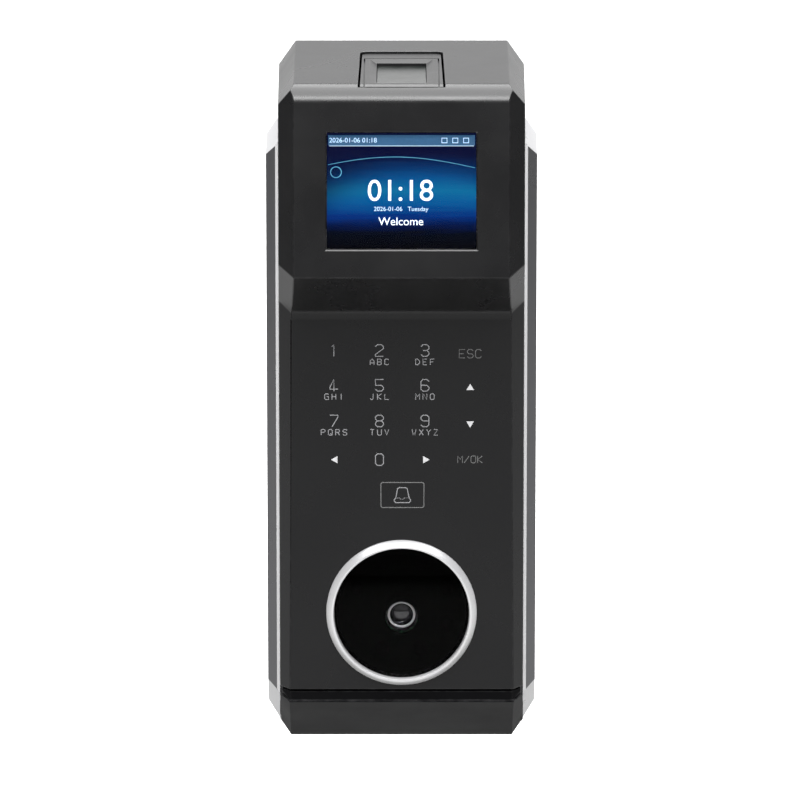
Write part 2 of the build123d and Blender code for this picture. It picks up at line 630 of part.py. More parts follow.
def rear_bosses():
    """Posts for the housing screws and the main board."""
    posts = []
    for x, z in housing_screw_places():
        post = outward_rod(HOUSING_BOSS_RADIUS + 0.6, x, z, (PLATE_RECESS, FRONT_BOSS_START - PARTING_GAP))
        posts.append(post)
    for x, z in board_screw_places():
        posts.append(outward_rod(BOARD_BOSS_RADIUS, x, z, (PLATE_RECESS, MAIN_BOARD_DEPTH)))
    return joined(posts)


def board_screw_places():
    return [(side * BOARD_SCREW_X, z) for z in BOARD_SCREW_HEIGHTS for side in (-1, 1)]


def rear_bores():
    """Passing holes and head seats for the housing screws, pilot holes for the board's."""
    bores = []
    for x, z in housing_screw_places():
        passing = HOUSING_SCREW_RADIUS + SCREW_CLEARANCE
        bores.append(outward_rod(passing, x, z, (-1, MAIN_BOARD_DEPTH)))
        bores.append(outward_rod(SCREW_HEAD_RADIUS + SCREW_CLEARANCE, x, z, (-1, SCREW_SEAT)))
    for x, z in board_screw_places():
        bores.append(outward_rod(BOARD_SCREW_RADIUS, x, z, (SHELL_BACK + 1, MAIN_BOARD_DEPTH + 1)))
    return joined(bores)


def rear_windows():
    """Openings in the shell's back: wiring, hooks, securing tab and tamper plunger."""
    back = (-1, SHELL_BACK + 1)
    cuts = [slab((-WIRING_HALF, WIRING_HALF), back, WIRING_Z)]
    for height in HOOK_HEIGHTS:
        for side in (-1, 1):
            x = (side * HOOK_X - HOOK_SLOT_WIDTH / 2, side * HOOK_X + HOOK_SLOT_WIDTH / 2)
            z = (height - LIFT_TRAVEL - 0.5, height + HOOK_NECK + HOOK_GAP)
            cuts.append(slab(x, back, z))
    tab_low = PLATE_BOTTOM - LIFT_TRAVEL - 1
    tab_high = PLATE_BOTTOM + TAB_THICKNESS + 1
    cuts.append(slab((-TAB_HALF - 1, TAB_HALF + 1), (-1, SHELL_FOOT_DEPTH + 1), (tab_low, tab_high)))
    cuts.append(outward_rod(TAMPER_RADIUS + 0.5, *TAMPER_PLACE, back))
    return joined(cuts)


def bottom_cuts():
    """Cuts in the bottom: USB port and its flap, speaker slots, securing screw."""
    x, depth = USB_CENTRE
    mouth = slab((x - USB_WIDTH / 2 - FIT, x + USB_WIDTH / 2 + FIT),
                 (depth - USB_THICKNESS / 2 - FIT, depth + USB_THICKNESS / 2 + FIT),
                 (BOTTOM - 1, BOTTOM + BOSS_RISE + 1))
    seat = slab((x - FLAP_WIDTH / 2 - FLAP_GAP, x + FLAP_WIDTH / 2 + FLAP_GAP),
                (FLAP_AXIS_DEPTH - FLAP_THICKNESS / 2 - FLAP_GAP, FLAP_AXIS_DEPTH + FLAP_LENGTH),
                (BOTTOM - 1, BOTTOM + FLAP_THICKNESS + FLAP_GAP / 2))
    cuts = [mouth, seat]
    pitch = (SPEAKER_X[1] - SPEAKER_X[0]) / SPEAKER_SLOTS
    for index in range(SPEAKER_SLOTS):
        left = SPEAKER_X[0] + (index + 0.3) * pitch
        cuts.append(slab((left, left + pitch * 0.4), (SPEAKER_DEPTH[0] + 2, SPEAKER_DEPTH[1] - 2),
                         (BOTTOM - 1, BOTTOM + BOSS_RISE + 1)))
    passing = SECURING_SCREW_RADIUS + SCREW_CLEARANCE
    head = SCREW_HEAD_RADIUS + SCREW_CLEARANCE
    cuts.append(upright_rod(passing, 0, SECURING_SCREW_DEPTH, (BOTTOM - 1, BOTTOM + 7)))
    cuts.append(upright_rod(head, 0, SECURING_SCREW_DEPTH, (BOTTOM - 1, BOTTOM + SCREW_HEAD_HEIGHT + 0.4)))
    return joined(cuts)


# ---------------------------------------------------------------- wall plate and fasteners
def wall_plate():
    """Steel plate with four hooks, screw holes, a cable window and a securing tab."""
    plate = slab((-PLATE_HALF, PLATE_HALF), (0, PLATE_THICKNESS), (PLATE_BOTTOM, PLATE_TOP))
    plate = fillet(plate.edges().filter_by(Axis.Y), PLATE_CORNER)
    cable = slab((-CABLE_WINDOW_WIDTH / 2, CABLE_WINDOW_WIDTH / 2), (-1, PLATE_THICKNESS + 1),
                 (CABLE_WINDOW_CENTRE - CABLE_WINDOW_HEIGHT / 2, CABLE_WINDOW_CENTRE + CABLE_WINDOW_HEIGHT / 2))
    plate -= fillet(cable.edges().filter_by(Axis.Y), PLATE_CORNER)
    for x in (-PLATE_HOLE_SPACING_X / 2, PLATE_HOLE_SPACING_X / 2):
        for z in (-PLATE_HOLE_SPACING_Z / 2, PLATE_HOLE_SPACING_Z / 2):
            plate -= outward_rod(PLATE_HOLE_RADIUS, x, z, (-1, PLATE_THICKNESS + 1))
    for height in HOOK_HEIGHTS:
        for side in (-1, 1):
            plate += Pos(side * HOOK_X, 0, 0) * hook(height)
    tab = slab((-TAB_HALF, TAB_HALF), (0, TAB_DEPTH), (PLATE_BOTTOM, PLATE_BOTTOM + TAB_THICKNESS))
    tab -= upright_rod(SECURING_SCREW_RADIUS + 0.1, 0, SECURING_SCREW_DEPTH,
                       (PLATE_BOTTOM - 1, PLATE_BOTTOM + TAB_THICKNESS + 1))
    return plate + tab


def hook(height):
    """One hook, bent forward from the plate, with its nose pointing up."""
    nose_back = SHELL_BACK + HOOK_PLAY
    nose_front = nose_back + HOOK_NOSE_THICKNESS
    outline = [(0, height), (nose_front, height), (nose_front, height + HOOK_NECK + HOOK_NOSE - 1.5),
               (nose_front - 1, height + HOOK_NECK + HOOK_NOSE), (nose_back, height + HOOK_NECK + HOOK_NOSE),
               (nose_back, height + HOOK_NECK), (0, height + HOOK_NECK)]
    return side_prism(outline, HOOK_THICKNESS / 2)


def pan_screw(plane, radius, length):
    """A pan-head screw: head above the plane, shank below it, with a cross recess."""
    head = extrude(Circle(SCREW_HEAD_RADIUS), SCREW_HEAD_HEIGHT)
    head = fillet(head.edges().sort_by(Axis.Z)[-1], 0.7)
    recess = Pos(0, 0, SCREW_HEAD_HEIGHT - 0.5) * Box(3.2, 0.7, 1.2)
    recess += Pos(0, 0, SCREW_HEAD_HEIGHT - 0.5) * Box(0.7, 3.2, 1.2)
    shank = Pos(0, 0, -length / 2) * Cylinder(radius, length)
    return plane * (head - recess + shank)


def wall_facing(x, depth, z):
    """A plane at a point, facing the wall."""
    return Plane(origin=at(x, depth, z), x_dir=(1, 0, 0), z_dir=(0, 1, 0))


def room_facing(x, depth, z):
    """A plane at a point, facing away from the wall."""
    return Plane(origin=at(x, depth, z), x_dir=(1, 0, 0), z_dir=(0, -1, 0))


def housing_screws():
    reach = FRONT_BOSS_START - SCREW_SEAT + HOUSING_SCREW_BITE - 1
    shank = HOUSING_SCREW_RADIUS - THREAD_GAP
    places = housing_screw_places()
    return Compound([pan_screw(wall_facing(x, SCREW_SEAT, z), shank, reach) for x, z in places])


def board_screws():
    seat = MAIN_BOARD_DEPTH + BOARD_THICKNESS
    shank = BOARD_SCREW_RADIUS - THREAD_GAP
    places = board_screw_places()
    return Compound([pan_screw(room_facing(x, seat, z), shank, BOARD_SCREW_LENGTH) for x, z in places])


def display_screws():
    under = WINDOW_PLANE.offset(-display_stack(4))
    seat = Plane(origin=under.origin, x_dir=(1, 0, 0), z_dir=under.z_dir * -1)
    shank = SMALL_SCREW_RADIUS - THREAD_GAP
    screws = [small_screw(seat * Pos(x, -y, 0), shank) for x, y in display_boss_places()]
    return Compound(screws)


def small_screw(place, radius):
    """A small screw whose head stands along the place's own Z."""
    head = extrude(Circle(SMALL_HEAD_RADIUS), SMALL_HEAD_HEIGHT)
    head = fillet(head.edges().sort_by(Axis.Z)[-1], 0.5)
    slot = Pos(0, 0, 1.0) * Box(2.4, 0.6, 0.8)
    shank = Pos(0, 0, -SMALL_SCREW_LENGTH / 2) * Cylinder(radius, SMALL_SCREW_LENGTH)
    return place * (head - slot + shank)


def palm_screws():
    seat = PALM_CUP_FRONT - EAR_THICKNESS
    shank = SMALL_SCREW_RADIUS - THREAD_GAP
    screws = []
    for x, z in palm_ear_places():
        place = Location(wall_facing(x, seat, z))
        screws.append(small_screw(place, shank))
    return Compound(screws)


def securing_screw():
    """Stops the terminal from being lifted off; its head is hidden in the bottom."""
    seat = BOTTOM + SCREW_HEAD_HEIGHT + 0.4
    length = PLATE_BOTTOM + TAB_THICKNESS + 2 - seat
    facing_down = Plane(origin=at(0, SECURING_SCREW_DEPTH, seat), x_dir=(1, 0, 0), z_dir=(0, 0, -1))
    return pan_screw(facing_down, SECURING_SCREW_RADIUS - THREAD_GAP, length)


# ---------------------------------------------------------------- display
def display_glass():
    width = WINDOW_WIDTH + 2 * GLASS_BORDER
    height = WINDOW_HEIGHT + 2 * GLASS_BORDER
    return plate_on(WINDOW_PLANE, width, height, -display_stack(1), -GLASS_SETBACK)


def display_foam():
    """Dust seal between glass and LCD."""
    outer = Rectangle(WINDOW_WIDTH + 2 * GLASS_BORDER, WINDOW_HEIGHT + 2 * GLASS_BORDER)
    inner = Rectangle(WINDOW_WIDTH, WINDOW_HEIGHT)
    return WINDOW_PLANE.offset(-display_stack(2)) * extrude(outer - inner, FOAM_THICKNESS)


def lcd_module():
    """The TFT with its metal frame, rebated round the active area."""
    body = plate_on(WINDOW_PLANE, LCD_WIDTH, LCD_HEIGHT, -display_stack(3), -display_stack(2))
    active = plate_on(WINDOW_PLANE, WINDOW_WIDTH, WINDOW_HEIGHT, -display_stack(2) - LCD_REBATE, 0)
    return body - active


def lcd_bracket():
    """Sheet frame that holds the LCD against its seat."""
    sheet = Rectangle(LCD_WIDTH, LCD_HEIGHT) - Rectangle(LCD_WIDTH - 2 * BRACKET_RIM, LCD_HEIGHT - 2 * BRACKET_RIM)
    for x, y in display_boss_places():
        sheet += Pos(x * 0.9, y) * Rectangle(2 * (DISPLAY_BOSS_X * 0.1 + SMALL_HEAD_RADIUS), 5)
    for x, y in display_boss_places():
        sheet -= Pos(x, y) * Circle(SMALL_SCREW_RADIUS + SCREW_CLEARANCE)
    return WINDOW_PLANE.offset(-display_stack(4)) * extrude(sheet, BRACKET_THICKNESS)


# ---------------------------------------------------------------- keypad
def keypad_light_guide():
    """Clear sheet that spreads the key lights behind the face."""
    back = INNER_FACE - FIT - GUIDE_THICKNESS
    z = (KEYPAD_CENTRE - KEYPAD_HEIGHT / 2, KEYPAD_CENTRE + KEYPAD_HEIGHT / 2)
    sheet = slab((-KEYPAD_HALF, KEYPAD_HALF), (back, INNER_FACE - FIT), z)
    return sheet - keypad_corner_notches()


def keypad_corner_notches():
    """Room for the middle housing posts beside the keypad."""
    notches = []
    for side in (-1, 1):
        z = HOUSING_SCREW_HEIGHTS[1]
        notches.append(outward_rod(HOUSING_BOSS_RADIUS + 0.4, side * HOUSING_SCREW_X, z, (0, LIP_DEPTH)))
    return joined(notches)


def keypad_board():
    front = INNER_FACE - FIT - GUIDE_THICKNESS - LAYER_GAP
    z = (KEYPAD_CENTRE - KEYPAD_HEIGHT / 2, KEYPAD_CENTRE + KEYPAD_HEIGHT / 2)
    board = slab((-KEYPAD_HALF, KEYPAD_HALF), (front - BOARD_THICKNESS, front), z)
    return board - keypad_corner_notches()


def card_antenna():
    """Loop board for proximity cards, behind the lower keys."""
    front = INNER_FACE - FIT - GUIDE_THICKNESS - 2 * LAYER_GAP - BOARD_THICKNESS
    z = KEYPAD_CENTRE - KEYPAD_HEIGHT / 2 + ANTENNA_HEIGHT / 2
    outer = slab((-ANTENNA_WIDTH / 2, ANTENNA_WIDTH / 2), (front - ANTENNA_THICKNESS, front),
                 (z - ANTENNA_HEIGHT / 2, z + ANTENNA_HEIGHT / 2))
    half_inner = ANTENNA_WIDTH / 2 - ANTENNA_RIM
    inner = slab((-half_inner, half_inner), (front - 2 * ANTENNA_THICKNESS, front + 1),
                 (z - ANTENNA_HEIGHT / 2 + ANTENNA_RIM, z + ANTENNA_HEIGHT / 2 - ANTENNA_RIM))
    return outer - inner


# ---------------------------------------------------------------- palm reader
def turned(points, z):
    """A (radius, depth) outline turned round an axis square to the wall."""
    outline = make_face(Polyline(*[(r, d) for r, d in points], close=True))
    body = revolve(outline, Axis.Y)
    return Pos(0, 0, z) * mirror(body, Plane.XZ)


def palm_bezel():
    """The bright ring: a cone that rises to its inner rim, on a pressed-in spigot."""
    outer = RING_RADIUS
    inner = RING_INNER_RADIUS
    rim = FRONT_DEPTH + RING_HEIGHT
    spigot = inner + RING_WALL
    back = FRONT_DEPTH - RING_SPIGOT
    shelf = FRONT_DEPTH - PALM_GLASS_THICKNESS + PALM_GLASS_RISE
    points = [
        (outer, FRONT_DEPTH), (outer, FRONT_DEPTH + RING_EDGE), (outer - 0.9, FRONT_DEPTH + 1.6),
        (inner + 0.7, rim), (inner + 0.25, rim), (inner, rim - 0.3), (inner, shelf),
        (inner - 1.2, shelf), (inner - 1.2, back), (spigot, back), (spigot, FRONT_DEPTH),
    ]
    return turned(points, PALM_CENTRE)


def palm_glass():
    front = FRONT_DEPTH + PALM_GLASS_RISE
    points = [
        (0, front - PALM_GLASS_THICKNESS), (RING_INNER_RADIUS - FIT, front - PALM_GLASS_THICKNESS),
        (RING_INNER_RADIUS - FIT, front - 0.2), (RING_INNER_RADIUS - FIT - 0.2, front), (0, front),
    ]
    return turned(points, PALM_CENTRE)


def palm_cup():
    """Black housing of the palm module, with four ears."""
    cup = outward_rod(CUP_RADIUS, 0, PALM_CENTRE, (PALM_CUP_REAR, PALM_CUP_FRONT))
    cup -= outward_rod(CUP_RADIUS - CUP_WALL, 0, PALM_CENTRE, (PALM_CUP_REAR + CUP_WALL, WELL))
    for x, z in palm_ear_places():
        ear = outward_rod(BOARD_BOSS_RADIUS + 0.5, x, z, (PALM_CUP_FRONT - EAR_THICKNESS, PALM_CUP_FRONT))
        reach = EAR_REACH * 0.9
        inner_x = x / EAR_REACH * reach
        inner_z = PALM_CENTRE + (z - PALM_CENTRE) / EAR_REACH * reach
        ear += outward_rod(BOARD_BOSS_RADIUS + 0.5, inner_x, inner_z,
                           (PALM_CUP_FRONT - EAR_THICKNESS, PALM_CUP_FRONT))
        ear -= outward_rod(CUP_RADIUS - CUP_WALL, 0, PALM_CENTRE, (0, WELL))
        cup += ear
        cup -= outward_rod(SMALL_SCREW_RADIUS + SCREW_CLEARANCE, x, z, (PALM_CUP_REAR, WELL))
    cup -= slab((-8, 8), (PALM_CUP_REAR - 1, PALM_CUP_REAR + CUP_WALL + 1),
                (LENS_CENTRE - 4, LENS_CENTRE + 4))
    return cup


def palm_ir_board():
    radius = CUP_RADIUS - CUP_WALL - FIT
    board = outward_rod(radius, 0, PALM_CENTRE, (IR_BOARD_DEPTH, IR_BOARD_DEPTH + BOARD_THICKNESS))
    return board - outward_rod(BARREL_RADIUS + 0.4, 0, LENS_CENTRE, (0, WELL))


def palm_ir_leds():
    """Infrared lamps in a ring round the lens."""
    lamps = []
    base = IR_BOARD_DEPTH + BOARD_THICKNESS
    for index in range(IR_LED_COUNT):
        angle = radians(360 / IR_LED_COUNT * (index + 0.5))
        x = IR_LED_CIRCLE * cos(angle)
        z = PALM_CENTRE + IR_LED_CIRCLE * sin(angle)
        lamp = outward_rod(IR_LED_RADIUS, x, z, (base, base + IR_LED_LENGTH))
        lamp += Pos(at(x, base + IR_LED_LENGTH, z)) * Sphere(IR_LED_RADIUS)
        lamp += outward_rod(IR_LED_RADIUS + 0.4, x, z, (base, base + 1))
        lamps.append(lamp)
    return Compound(lamps)


def palm_barrel():
    """Lens barrel and its square holder."""
    base = CAMERA_BOARD_DEPTH + BOARD_THICKNESS
    barrel = outward_rod(BARREL_RADIUS, 0, LENS_CENTRE, (base, BARREL_FRONT))
    barrel += slab((-9, 9), (base, base + 3), (LENS_CENTRE - 9, LENS_CENTRE + 9))
    barrel -= outward_rod(LENS_RADIUS, 0, LENS_CENTRE, (BARREL_FRONT - 4, WELL))
    barrel -= outward_rod(LENS_RADIUS - 1.5, 0, LENS_CENTRE, (base + 1, WELL))
    return barrel


def palm_lens():
    """Front glass of the lens, domed."""
    radius = LENS_RADIUS - FIT
    ball = (radius ** 2 + LENS_BULGE ** 2) / (2 * LENS_BULGE)
    seat = BARREL_FRONT - 4
    dome = Pos(at(0, seat + 2.4 + LENS_BULGE - ball, LENS_CENTRE)) * Sphere(ball)
    return dome & outward_rod(radius, 0, LENS_CENTRE, (seat, WELL))


def palm_camera_board():
    return slab((-12, 12), (CAMERA_BOARD_DEPTH, CAMERA_BOARD_DEPTH + BOARD_THICKNESS),
                (LENS_CENTRE - 12, LENS_CENTRE + 12))


# ---------------------------------------------------------------- finger reader
def guide_corner(x, depth, sink):
    """A point on the top face, or sunk below it."""
    return at(x, depth, TOP - TOP_DROP * depth / TOP_DEPTH - sink)


def sloped_hollow(half_top, rear_top, half_floor, rear_floor, sink, front):
    """A hollow in the top that is deepest at its rear and runs out at the front."""
    upper = [guide_corner(-half_top, rear_top, -0.01), guide_corner(half_top, rear_top, -0.01),
             guide_corner(half_top, front, -0.01), guide_corner(-half_top, front, -0.01)]
    lower = [guide_corner(-half_floor, rear_floor, sink), guide_corner(half_floor, rear_floor, sink),
             guide_corner(half_floor, front, FRONT_SINK), guide_corner(-half_floor, front, FRONT_SINK)]
    return loft([make_face(Polyline(*upper, close=True)), make_face(Polyline(*lower, close=True))],
                ruled=True)


def settled_top():
    """What stands above the insert's own top, which sinks towards its rear."""
    rear = TOP - TOP_DROP * GUIDE_REAR / TOP_DEPTH - GUIDE_SETTLE
    front = TOP - TOP_DROP * GUIDE_FRONT / TOP_DEPTH
    fall = (front - rear) / (GUIDE_FRONT - GUIDE_REAR)
    outline = [(0, rear - fall * GUIDE_REAR), (GUIDE_FRONT, front), (GUIDE_FRONT, TOP + WALL), (0, TOP + WALL)]
    return side_prism(outline, GUIDE_WIDTH)


def rim_groove():
    """The fine line cut round the funnel, open at the front."""
    half = GUIDE_FUNNEL_WIDTH / 2 + RIM_WIDTH
    rear = GUIDE_FUNNEL_REAR - RIM_WIDTH
    reach = WELL - rear
    inner = top_face(rear) * Pos(0, -reach / 2, -RIM_GROOVE_DEPTH) * extrude(Rectangle(2 * half, reach), WALL)
    wide = Rectangle(2 * (half + RIM_GROOVE), reach + RIM_GROOVE)
    outer = top_face(rear) * Pos(0, (RIM_GROOVE - reach) / 2, -RIM_GROOVE_DEPTH) * extrude(wide, WALL)
    return outer - inner


def finger_guide():
    """Black insert that steers the finger onto the glass."""
    block = guide_block(-GUIDE_GROOVE / 2, -GUIDE_DEPTH, WALL) & body_form(0) & rounded_profile()
    block -= settled_top()
    block -= rim_groove()
    block -= sloped_hollow(GUIDE_FUNNEL_WIDTH / 2, GUIDE_FUNNEL_REAR, FINGER_GLASS_WIDTH / 2 + 0.4,
                           GUIDE_FUNNEL_REAR + 2, GUIDE_SINK, FINGER_GLASS_FRONT + 1)
    return block - finger_well(FIT)


def finger_well(grow):
    """The straight-sided well in the guide that the prism's face fills."""
    half = FINGER_GLASS_WIDTH / 2 + grow
    rear = FINGER_GLASS_REAR - grow
    return slab((-half, half), (rear, FINGER_GLASS_FRONT + grow), (TOP - 3 * GUIDE_DEPTH, TOP))


def finger_prism():
    """Glass prism; its upper face is the window that the finger touches."""
    upper_rear = guide_corner(0, FINGER_GLASS_REAR, GLASS_SINK)
    upper_front = guide_corner(0, FINGER_GLASS_FRONT, FRONT_SINK)
    low = TOP - PRISM_DEPTH
    outline = [(FINGER_GLASS_REAR, upper_rear.Z), (FINGER_GLASS_FRONT, upper_front.Z),
               (FINGER_GLASS_FRONT, low), (FINGER_GLASS_REAR, low)]
    return side_prism(outline, FINGER_GLASS_WIDTH / 2)


def finger_sensor_housing():
    """Light-tight box under the prism."""
    half = FINGER_GLASS_WIDTH / 2 + 0.4 + SENSOR_WALL
    rear = FINGER_GLASS_REAR
    front = FINGER_GLASS_FRONT
    top = TOP - TOP_DROP - GUIDE_DEPTH - 0.3
    box = slab((-half, half), (rear - SENSOR_WALL, front + SENSOR_WALL), (SENSOR_BOTTOM, top))
    inside = slab((-half + SENSOR_WALL, half - SENSOR_WALL), (rear - FIT, front + FIT),
                  (SENSOR_BOTTOM + SENSOR_WALL, TOP))
    box -= inside
    return box - slab((-5, 5), (rear + 8, rear + 20), (SENSOR_BOTTOM - 1, SENSOR_BOTTOM + 3))


def finger_sensor_board():
    """Image sensor and lamps at the bottom of that box."""
    rear = FINGER_GLASS_REAR
    front = FINGER_GLASS_FRONT
    low = SENSOR_BOTTOM + SENSOR_WALL
    board = slab((-9, 9), (rear + 1, front - 1), (low, low + BOARD_THICKNESS))
    lens = upright_rod(3.5, 0, (rear + front) / 2, (low + BOARD_THICKNESS, low + BOARD_THICKNESS + 6))
    return board + lens


# ---------------------------------------------------------------- main board and what it carries


def main_board():
    z = (MAIN_BOARD_BOTTOM, MAIN_BOARD_TOP)
    board = slab((-MAIN_BOARD_HALF, MAIN_BOARD_HALF), (MAIN_BOARD_DEPTH, BOARD_FRONT), z)
    for x, z in board_screw_places():
        board -= outward_rod(BOARD_SCREW_RADIUS + SCREW_CLEARANCE, x, z, (0, WELL))
    notch = HOUSING_BOSS_RADIUS + 1.1
    for x, z in housing_screw_places():
        board -= outward_rod(notch, x, z, (0, WELL))
    return board


def processor_shield():
    """Pressed tin can over the processor."""
    can = slab((-16, 16), (BOARD_FRONT, BOARD_FRONT + 3), (4, 38))
    can = fillet(can.edges().filter_by(Axis.Y), 1.5)
    return can - slab((-15.6, 15.6), (BOARD_FRONT - 1, BOARD_FRONT + 2.6), (4.4, 37.6))


def clock_battery():
    return outward_rod(10, 24, 52, (BOARD_FRONT + 1, BOARD_FRONT + 4.2))


def battery_holder():
    holder = outward_rod(11.5, 24, 52, (BOARD_FRONT, BOARD_FRONT + 3.6))
    return holder - outward_rod(10 + FIT, 24, 52, (BOARD_FRONT + 1, WELL))


def lock_relay():
    block = slab((-33, -18), (BOARD_FRONT, BOARD_FRONT + 15), (-56, -37))
    return fillet(block.edges().filter_by(Axis.Y), 0.8)


def flex_connectors():
    """White sockets on the main board for the four flat cables."""
    places = [(0, LCD_FLEX_HEIGHT, 26), (0, FINGER_FLEX_HEIGHT, 14),
              (KEYPAD_FLEX_X, KEYPAD_FLEX_HEIGHT, 14), (0, PALM_FLEX_HEIGHT, 16)]
    blocks = []
    for x, z, width in places:
        blocks.append(slab((x - width / 2, x + width / 2), (BOARD_FRONT, FLEX_SEAT), (z - 2.5, z + 2.5)))
    return Compound(blocks)


def ribbon(route, x, width):
    """A flat cable, through (depth, z) points, of one width across the terminal."""
    pieces = []
    for start, end in zip(route, route[1:]):
        length = ((end[0] - start[0]) ** 2 + (end[1] - start[1]) ** 2) ** 0.5
        turn = degrees(atan2(end[1] - start[1], -(end[0] - start[0])))
        middle = at(x, (start[0] + end[0]) / 2, (start[1] + end[1]) / 2)
        pieces.append(Pos(middle) * Rot(turn, 0, 0) * Box(width, length, FLEX_THICKNESS))
    for depth, z in route[1:-1]:
        bend = Rot(0, 90, 0) * Cylinder(FLEX_THICKNESS / 2, width)
        pieces.append(Pos(at(x, depth, z)) * bend)
    return joined(pieces)


def lcd_flex():
    middle = display_stack(2) + LCD_THICKNESS / 2
    edge = WINDOW_PLANE.from_local_coords((0, -LCD_HEIGHT / 2 - 0.1, -middle))
    away = WINDOW_PLANE.from_local_coords((0, -LCD_HEIGHT / 2 - 3, -middle - 1.5))
    route = [(-edge.Y, edge.Z), (-away.Y, away.Z), (-away.Y - 9, LCD_FLEX_HEIGHT - 1),
             (FLEX_SEAT + 5, LCD_FLEX_HEIGHT), (FLEX_SEAT + 0.1, LCD_FLEX_HEIGHT)]
    return ribbon(route, 0, 22)


def finger_flex():
    depth = FINGER_GLASS_REAR + 14
    low = SENSOR_BOTTOM + SENSOR_WALL
    route = [(depth, low - 0.1), (depth, low - 6), (FLEX_SEAT + 6, FINGER_FLEX_HEIGHT),
             (FLEX_SEAT + 0.1, FINGER_FLEX_HEIGHT)]
    return ribbon(route, 0, 8)


def keypad_flex():
    back = INNER_FACE - FIT - GUIDE_THICKNESS - 2 * LAYER_GAP - BOARD_THICKNESS
    route = [(back - 0.05, KEYPAD_FLEX_HEIGHT + 6), (back - 4, KEYPAD_FLEX_HEIGHT + 6),
             (FLEX_SEAT + 12, KEYPAD_FLEX_HEIGHT - 2), (FLEX_SEAT + 5, KEYPAD_FLEX_HEIGHT),
             (FLEX_SEAT + 0.1, KEYPAD_FLEX_HEIGHT)]
    return ribbon(route, KEYPAD_FLEX_X, 10)


def palm_flex():
    route = [(CAMERA_BOARD_DEPTH - 0.1, LENS_CENTRE), (PALM_CUP_REAR - 3, LENS_CENTRE),
             (FLEX_SEAT + 5, PALM_FLEX_HEIGHT), (FLEX_SEAT + 0.1, PALM_FLEX_HEIGHT)]
    return ribbon(route, 0, 12)


def terminal_blocks():
    """Three screw blocks for power, lock and door wiring."""
    blocks = []
    for index in (-1, 0, 1):
        x = index * BLOCK_PITCH
        block = slab((x - BLOCK_WIDTH / 2, x + BLOCK_WIDTH / 2), (BLOCK_REAR, MAIN_BOARD_DEPTH), BLOCK_Z)
        for way in range(WAYS):
            centre = x + (way - (WAYS - 1) / 2) * BLOCK_WIDTH / WAYS
            wire_mouth = (BLOCK_Z[0] - 1, BLOCK_Z[0] + 6)
            block -= slab((centre - 1.3, centre + 1.3), (BLOCK_REAR + 5, BLOCK_REAR + 8.2), wire_mouth)
            block -= outward_rod(1.4, centre, sum(BLOCK_Z) / 2, (BLOCK_REAR - 1, BLOCK_REAR + 2))
        blocks.append(block)
    return Compound(blocks)


def ethernet_jack():
    """Network socket whose mouth faces the wiring space."""
    can = slab(JACK_X, (JACK_REAR, MAIN_BOARD_DEPTH), JACK_Z)
    middle = (JACK_Z[0] + JACK_Z[1]) / 2
    can -= slab((JACK_X[0] - 1, JACK_X[0] + 12), (JACK_REAR + 2, JACK_REAR + 9), (middle - 6, middle + 6))
    return can - slab((JACK_X[0] - 1, JACK_X[0] + 12), (JACK_REAR + 8.9, JACK_REAR + 11), (middle - 2, middle + 2))


def usb_socket():
    """Metal-cased USB socket that opens downwards."""
    x, depth = USB_CENTRE
    low = BOTTOM + FLAP_THICKNESS + FLAP_GAP
    case = slab((x - USB_WIDTH / 2, x + USB_WIDTH / 2),
                (depth - USB_THICKNESS / 2, depth + USB_THICKNESS / 2), (low, low + USB_LENGTH))
    mouth = slab((x - 6.25, x + 6.25), (depth - 2.6, depth + 2.6), (low - 1, low + 12))
    tongue = slab((x - 5.5, x + 5.5), (depth + 0.4, depth + 2.3), (low + 1.5, low + 13))
    return (case - mouth) + tongue


def usb_board():
    x, depth = USB_CENTRE
    low = BOTTOM + WALL + 1
    back = depth - USB_THICKNESS / 2
    return slab((x - 10, x + 10), (back - 1.2, back), (low, BOTTOM + SHELL_FLOOR - 1))


def usb_flap():
    """Rubber cover of the USB socket, rounded about its hinge."""
    x = USB_CENTRE[0]
    axis_z = BOTTOM + FLAP_THICKNESS / 2
    plate = slab((x - FLAP_WIDTH / 2, x + FLAP_WIDTH / 2),
                 (FLAP_AXIS_DEPTH, FLAP_AXIS_DEPTH + FLAP_LENGTH - FLAP_THICKNESS / 2 - FLAP_GAP),
                 (BOTTOM, BOTTOM + FLAP_THICKNESS))
    round_end = Pos(at(x, FLAP_AXIS_DEPTH, axis_z)) * Rot(0, 90, 0) * Cylinder(FLAP_THICKNESS / 2, FLAP_WIDTH)
    return plate + round_end


def speaker():
    """Flat speaker that faces the slots in the bottom."""
    low = BOTTOM + WALL + FIT
    frame = slab(SPEAKER_X, SPEAKER_DEPTH, (low, low + 5))
    frame = fillet(frame.edges().filter_by(Axis.Z), 2)
    magnet = upright_rod(5, sum(SPEAKER_X) / 2, sum(SPEAKER_DEPTH) / 2, (low + 5, low + 8))
    return frame + magnet


# ---------------------------------------------------------------- switches


def tamper_switch():
    x, z = TAMPER_PLACE
    body = slab((x - 4, x + 4), TAMPER_BODY, (z - 4, z + 4))
    well = (TAMPER_BODY[0] - 1, TAMPER_BODY[0] + TAMPER_TRAVEL + 4)
    return body - outward_rod(TAMPER_RADIUS + RUNNING_GAP, x, z, well)


def tamper_plunger():
    """Spring plunger that feels the wall plate."""
    x, z = TAMPER_PLACE
    plunger = outward_rod(TAMPER_RADIUS, x, z, (TAMPER_TIP, TAMPER_BODY[0] + 3.5))
    tip = plunger.edges().sort_by(Axis.Y)[-1]
    return fillet(tip, 0.6)


def reset_switch():
    x, z = RESET_PLACE
    body = slab((x - 3, x + 3), RESET_BODY, (z - 3, z + 3))
    well = (RESET_BODY[0] - 1, RESET_BODY[0] + RESET_TRAVEL + 1.7)
    return body - outward_rod(RESET_RADIUS + RUNNING_GAP, x, z, well)


